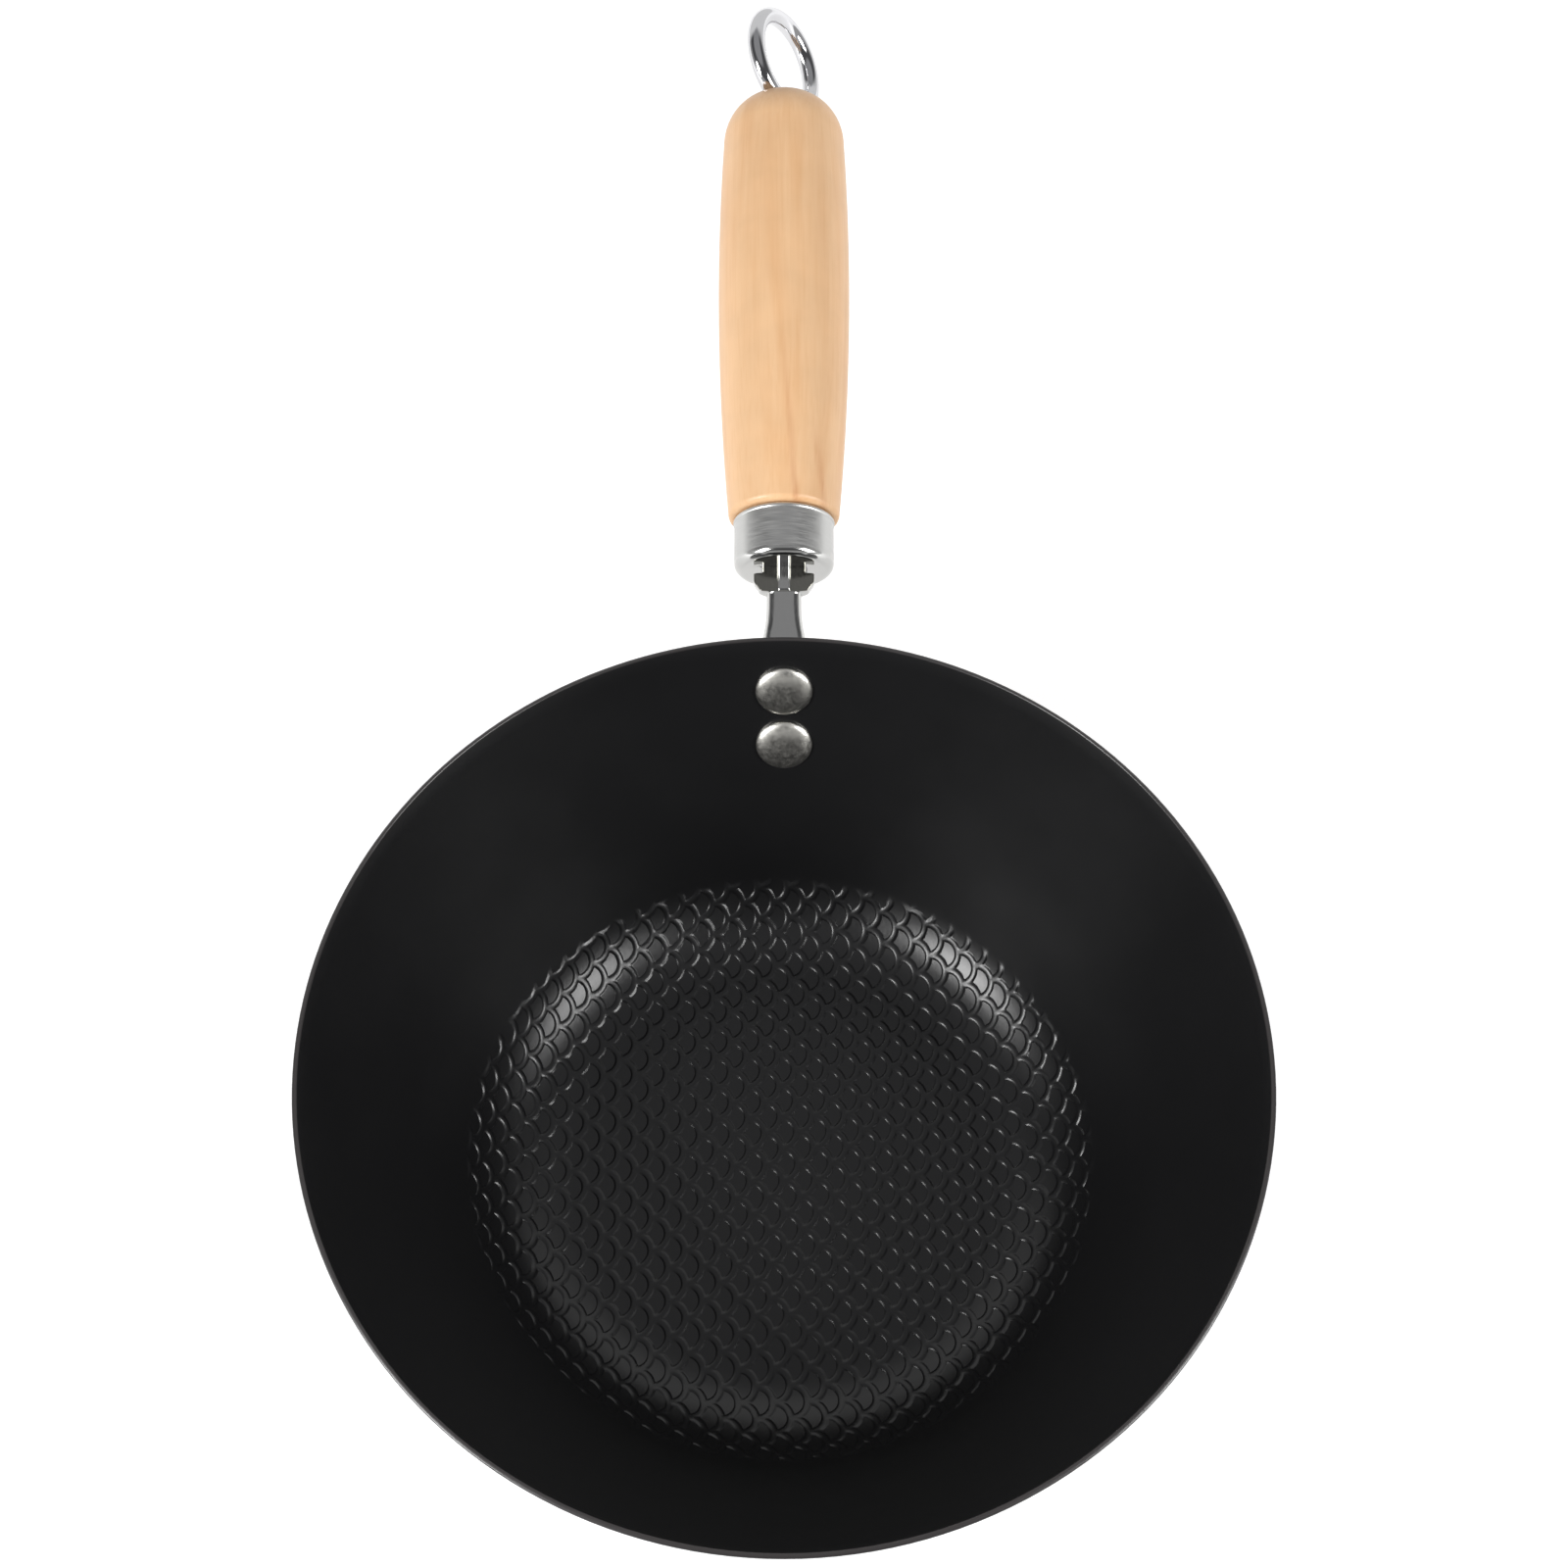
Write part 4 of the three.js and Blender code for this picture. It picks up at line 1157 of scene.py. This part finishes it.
        # Two softboxes: each one's bearing in degrees from the handle, and its share of the power.
        target = Vector((0, 0.03, 0.04))
        for name, bearing, share in (("softbox_right", 115, 1.1), ("softbox_left", -123, 1.5)):
            lamp = bpy.data.lights.new(name, "AREA")
            lamp.shape = "RECTANGLE"
            lamp.size = stage.softbox
            lamp.size_y = stage.softbox_height
            lamp.energy = stage.softbox_power * share
            holder = bpy.data.objects.new(name, lamp)
            scene.collection.objects.link(holder)
            turn = math.radians(bearing)
            rise = stage.softbox_rise
            direction = Vector((
                math.sin(turn) * math.cos(rise), math.cos(turn) * math.cos(rise), math.sin(rise),
            ))
            holder.location = target + direction * stage.softbox_away
            holder.rotation_euler = direction.to_track_quat("Z", "Y").to_euler()

        view = bpy.data.cameras.new("camera")
        view.lens = stage.lens
        view.sensor_width = 36
        camera = bpy.data.objects.new("camera", view)
        camera.location = (0, -stage.camera_back, stage.camera_height)
        camera.rotation_euler = (stage.camera_tilt, 0, 0)
        scene.collection.objects.link(camera)
        scene.camera = camera
        return {"FINISHED"}


class WOK_PT_panel(bpy.types.Panel):
    """Lists the wok's sizes, colours and pieces in the 3D view's sidebar"""

    bl_idname = "WOK_PT_panel"
    bl_label = "Wok"
    bl_space_type = "VIEW_3D"
    bl_region_type = "UI"
    bl_category = "Wok"

    def draw(self, context):
        layout = self.layout
        for settings in (context.scene.wok_bowl, context.scene.wok_handle, context.scene.wok_stage):
            box = layout.box()
            for name in settings.__annotations__:
                box.prop(settings, name)
        for operator in OPERATORS:
            layout.operator(operator.bl_idname)


SETTINGS = {
    "wok_bowl": WokBowlSettings,
    "wok_handle": WokHandleSettings,
    "wok_stage": WokStageSettings,
}
OPERATORS = (
    WOK_OT_bowl,
    WOK_OT_rivets,
    WOK_OT_bracket,
    WOK_OT_ferrule,
    WOK_OT_grip,
    WOK_OT_eye,
    WOK_OT_nut,
    WOK_OT_stage,
)


def register():
    """Registers the classes and hangs the settings on the scene."""
    for cls in (*SETTINGS.values(), *OPERATORS, WOK_PT_panel):
        bpy.utils.register_class(cls)
    for name, cls in SETTINGS.items():
        setattr(bpy.types.Scene, name, PointerProperty(type=cls))


def unregister():
    """Takes the settings off the scene and unregisters the classes."""
    for name in SETTINGS:
        delattr(bpy.types.Scene, name)
    for cls in (WOK_PT_panel, *reversed(OPERATORS), *SETTINGS.values()):
        bpy.utils.unregister_class(cls)


def main():
    """Builds every piece and the stage."""
    register()
    bpy.ops.wok.bowl()
    bpy.ops.wok.rivets()
    bpy.ops.wok.bracket()
    bpy.ops.wok.ferrule()
    bpy.ops.wok.grip()
    bpy.ops.wok.eye()
    bpy.ops.wok.nut()
    bpy.ops.wok.stage()


if __name__ == "__main__":
    main()
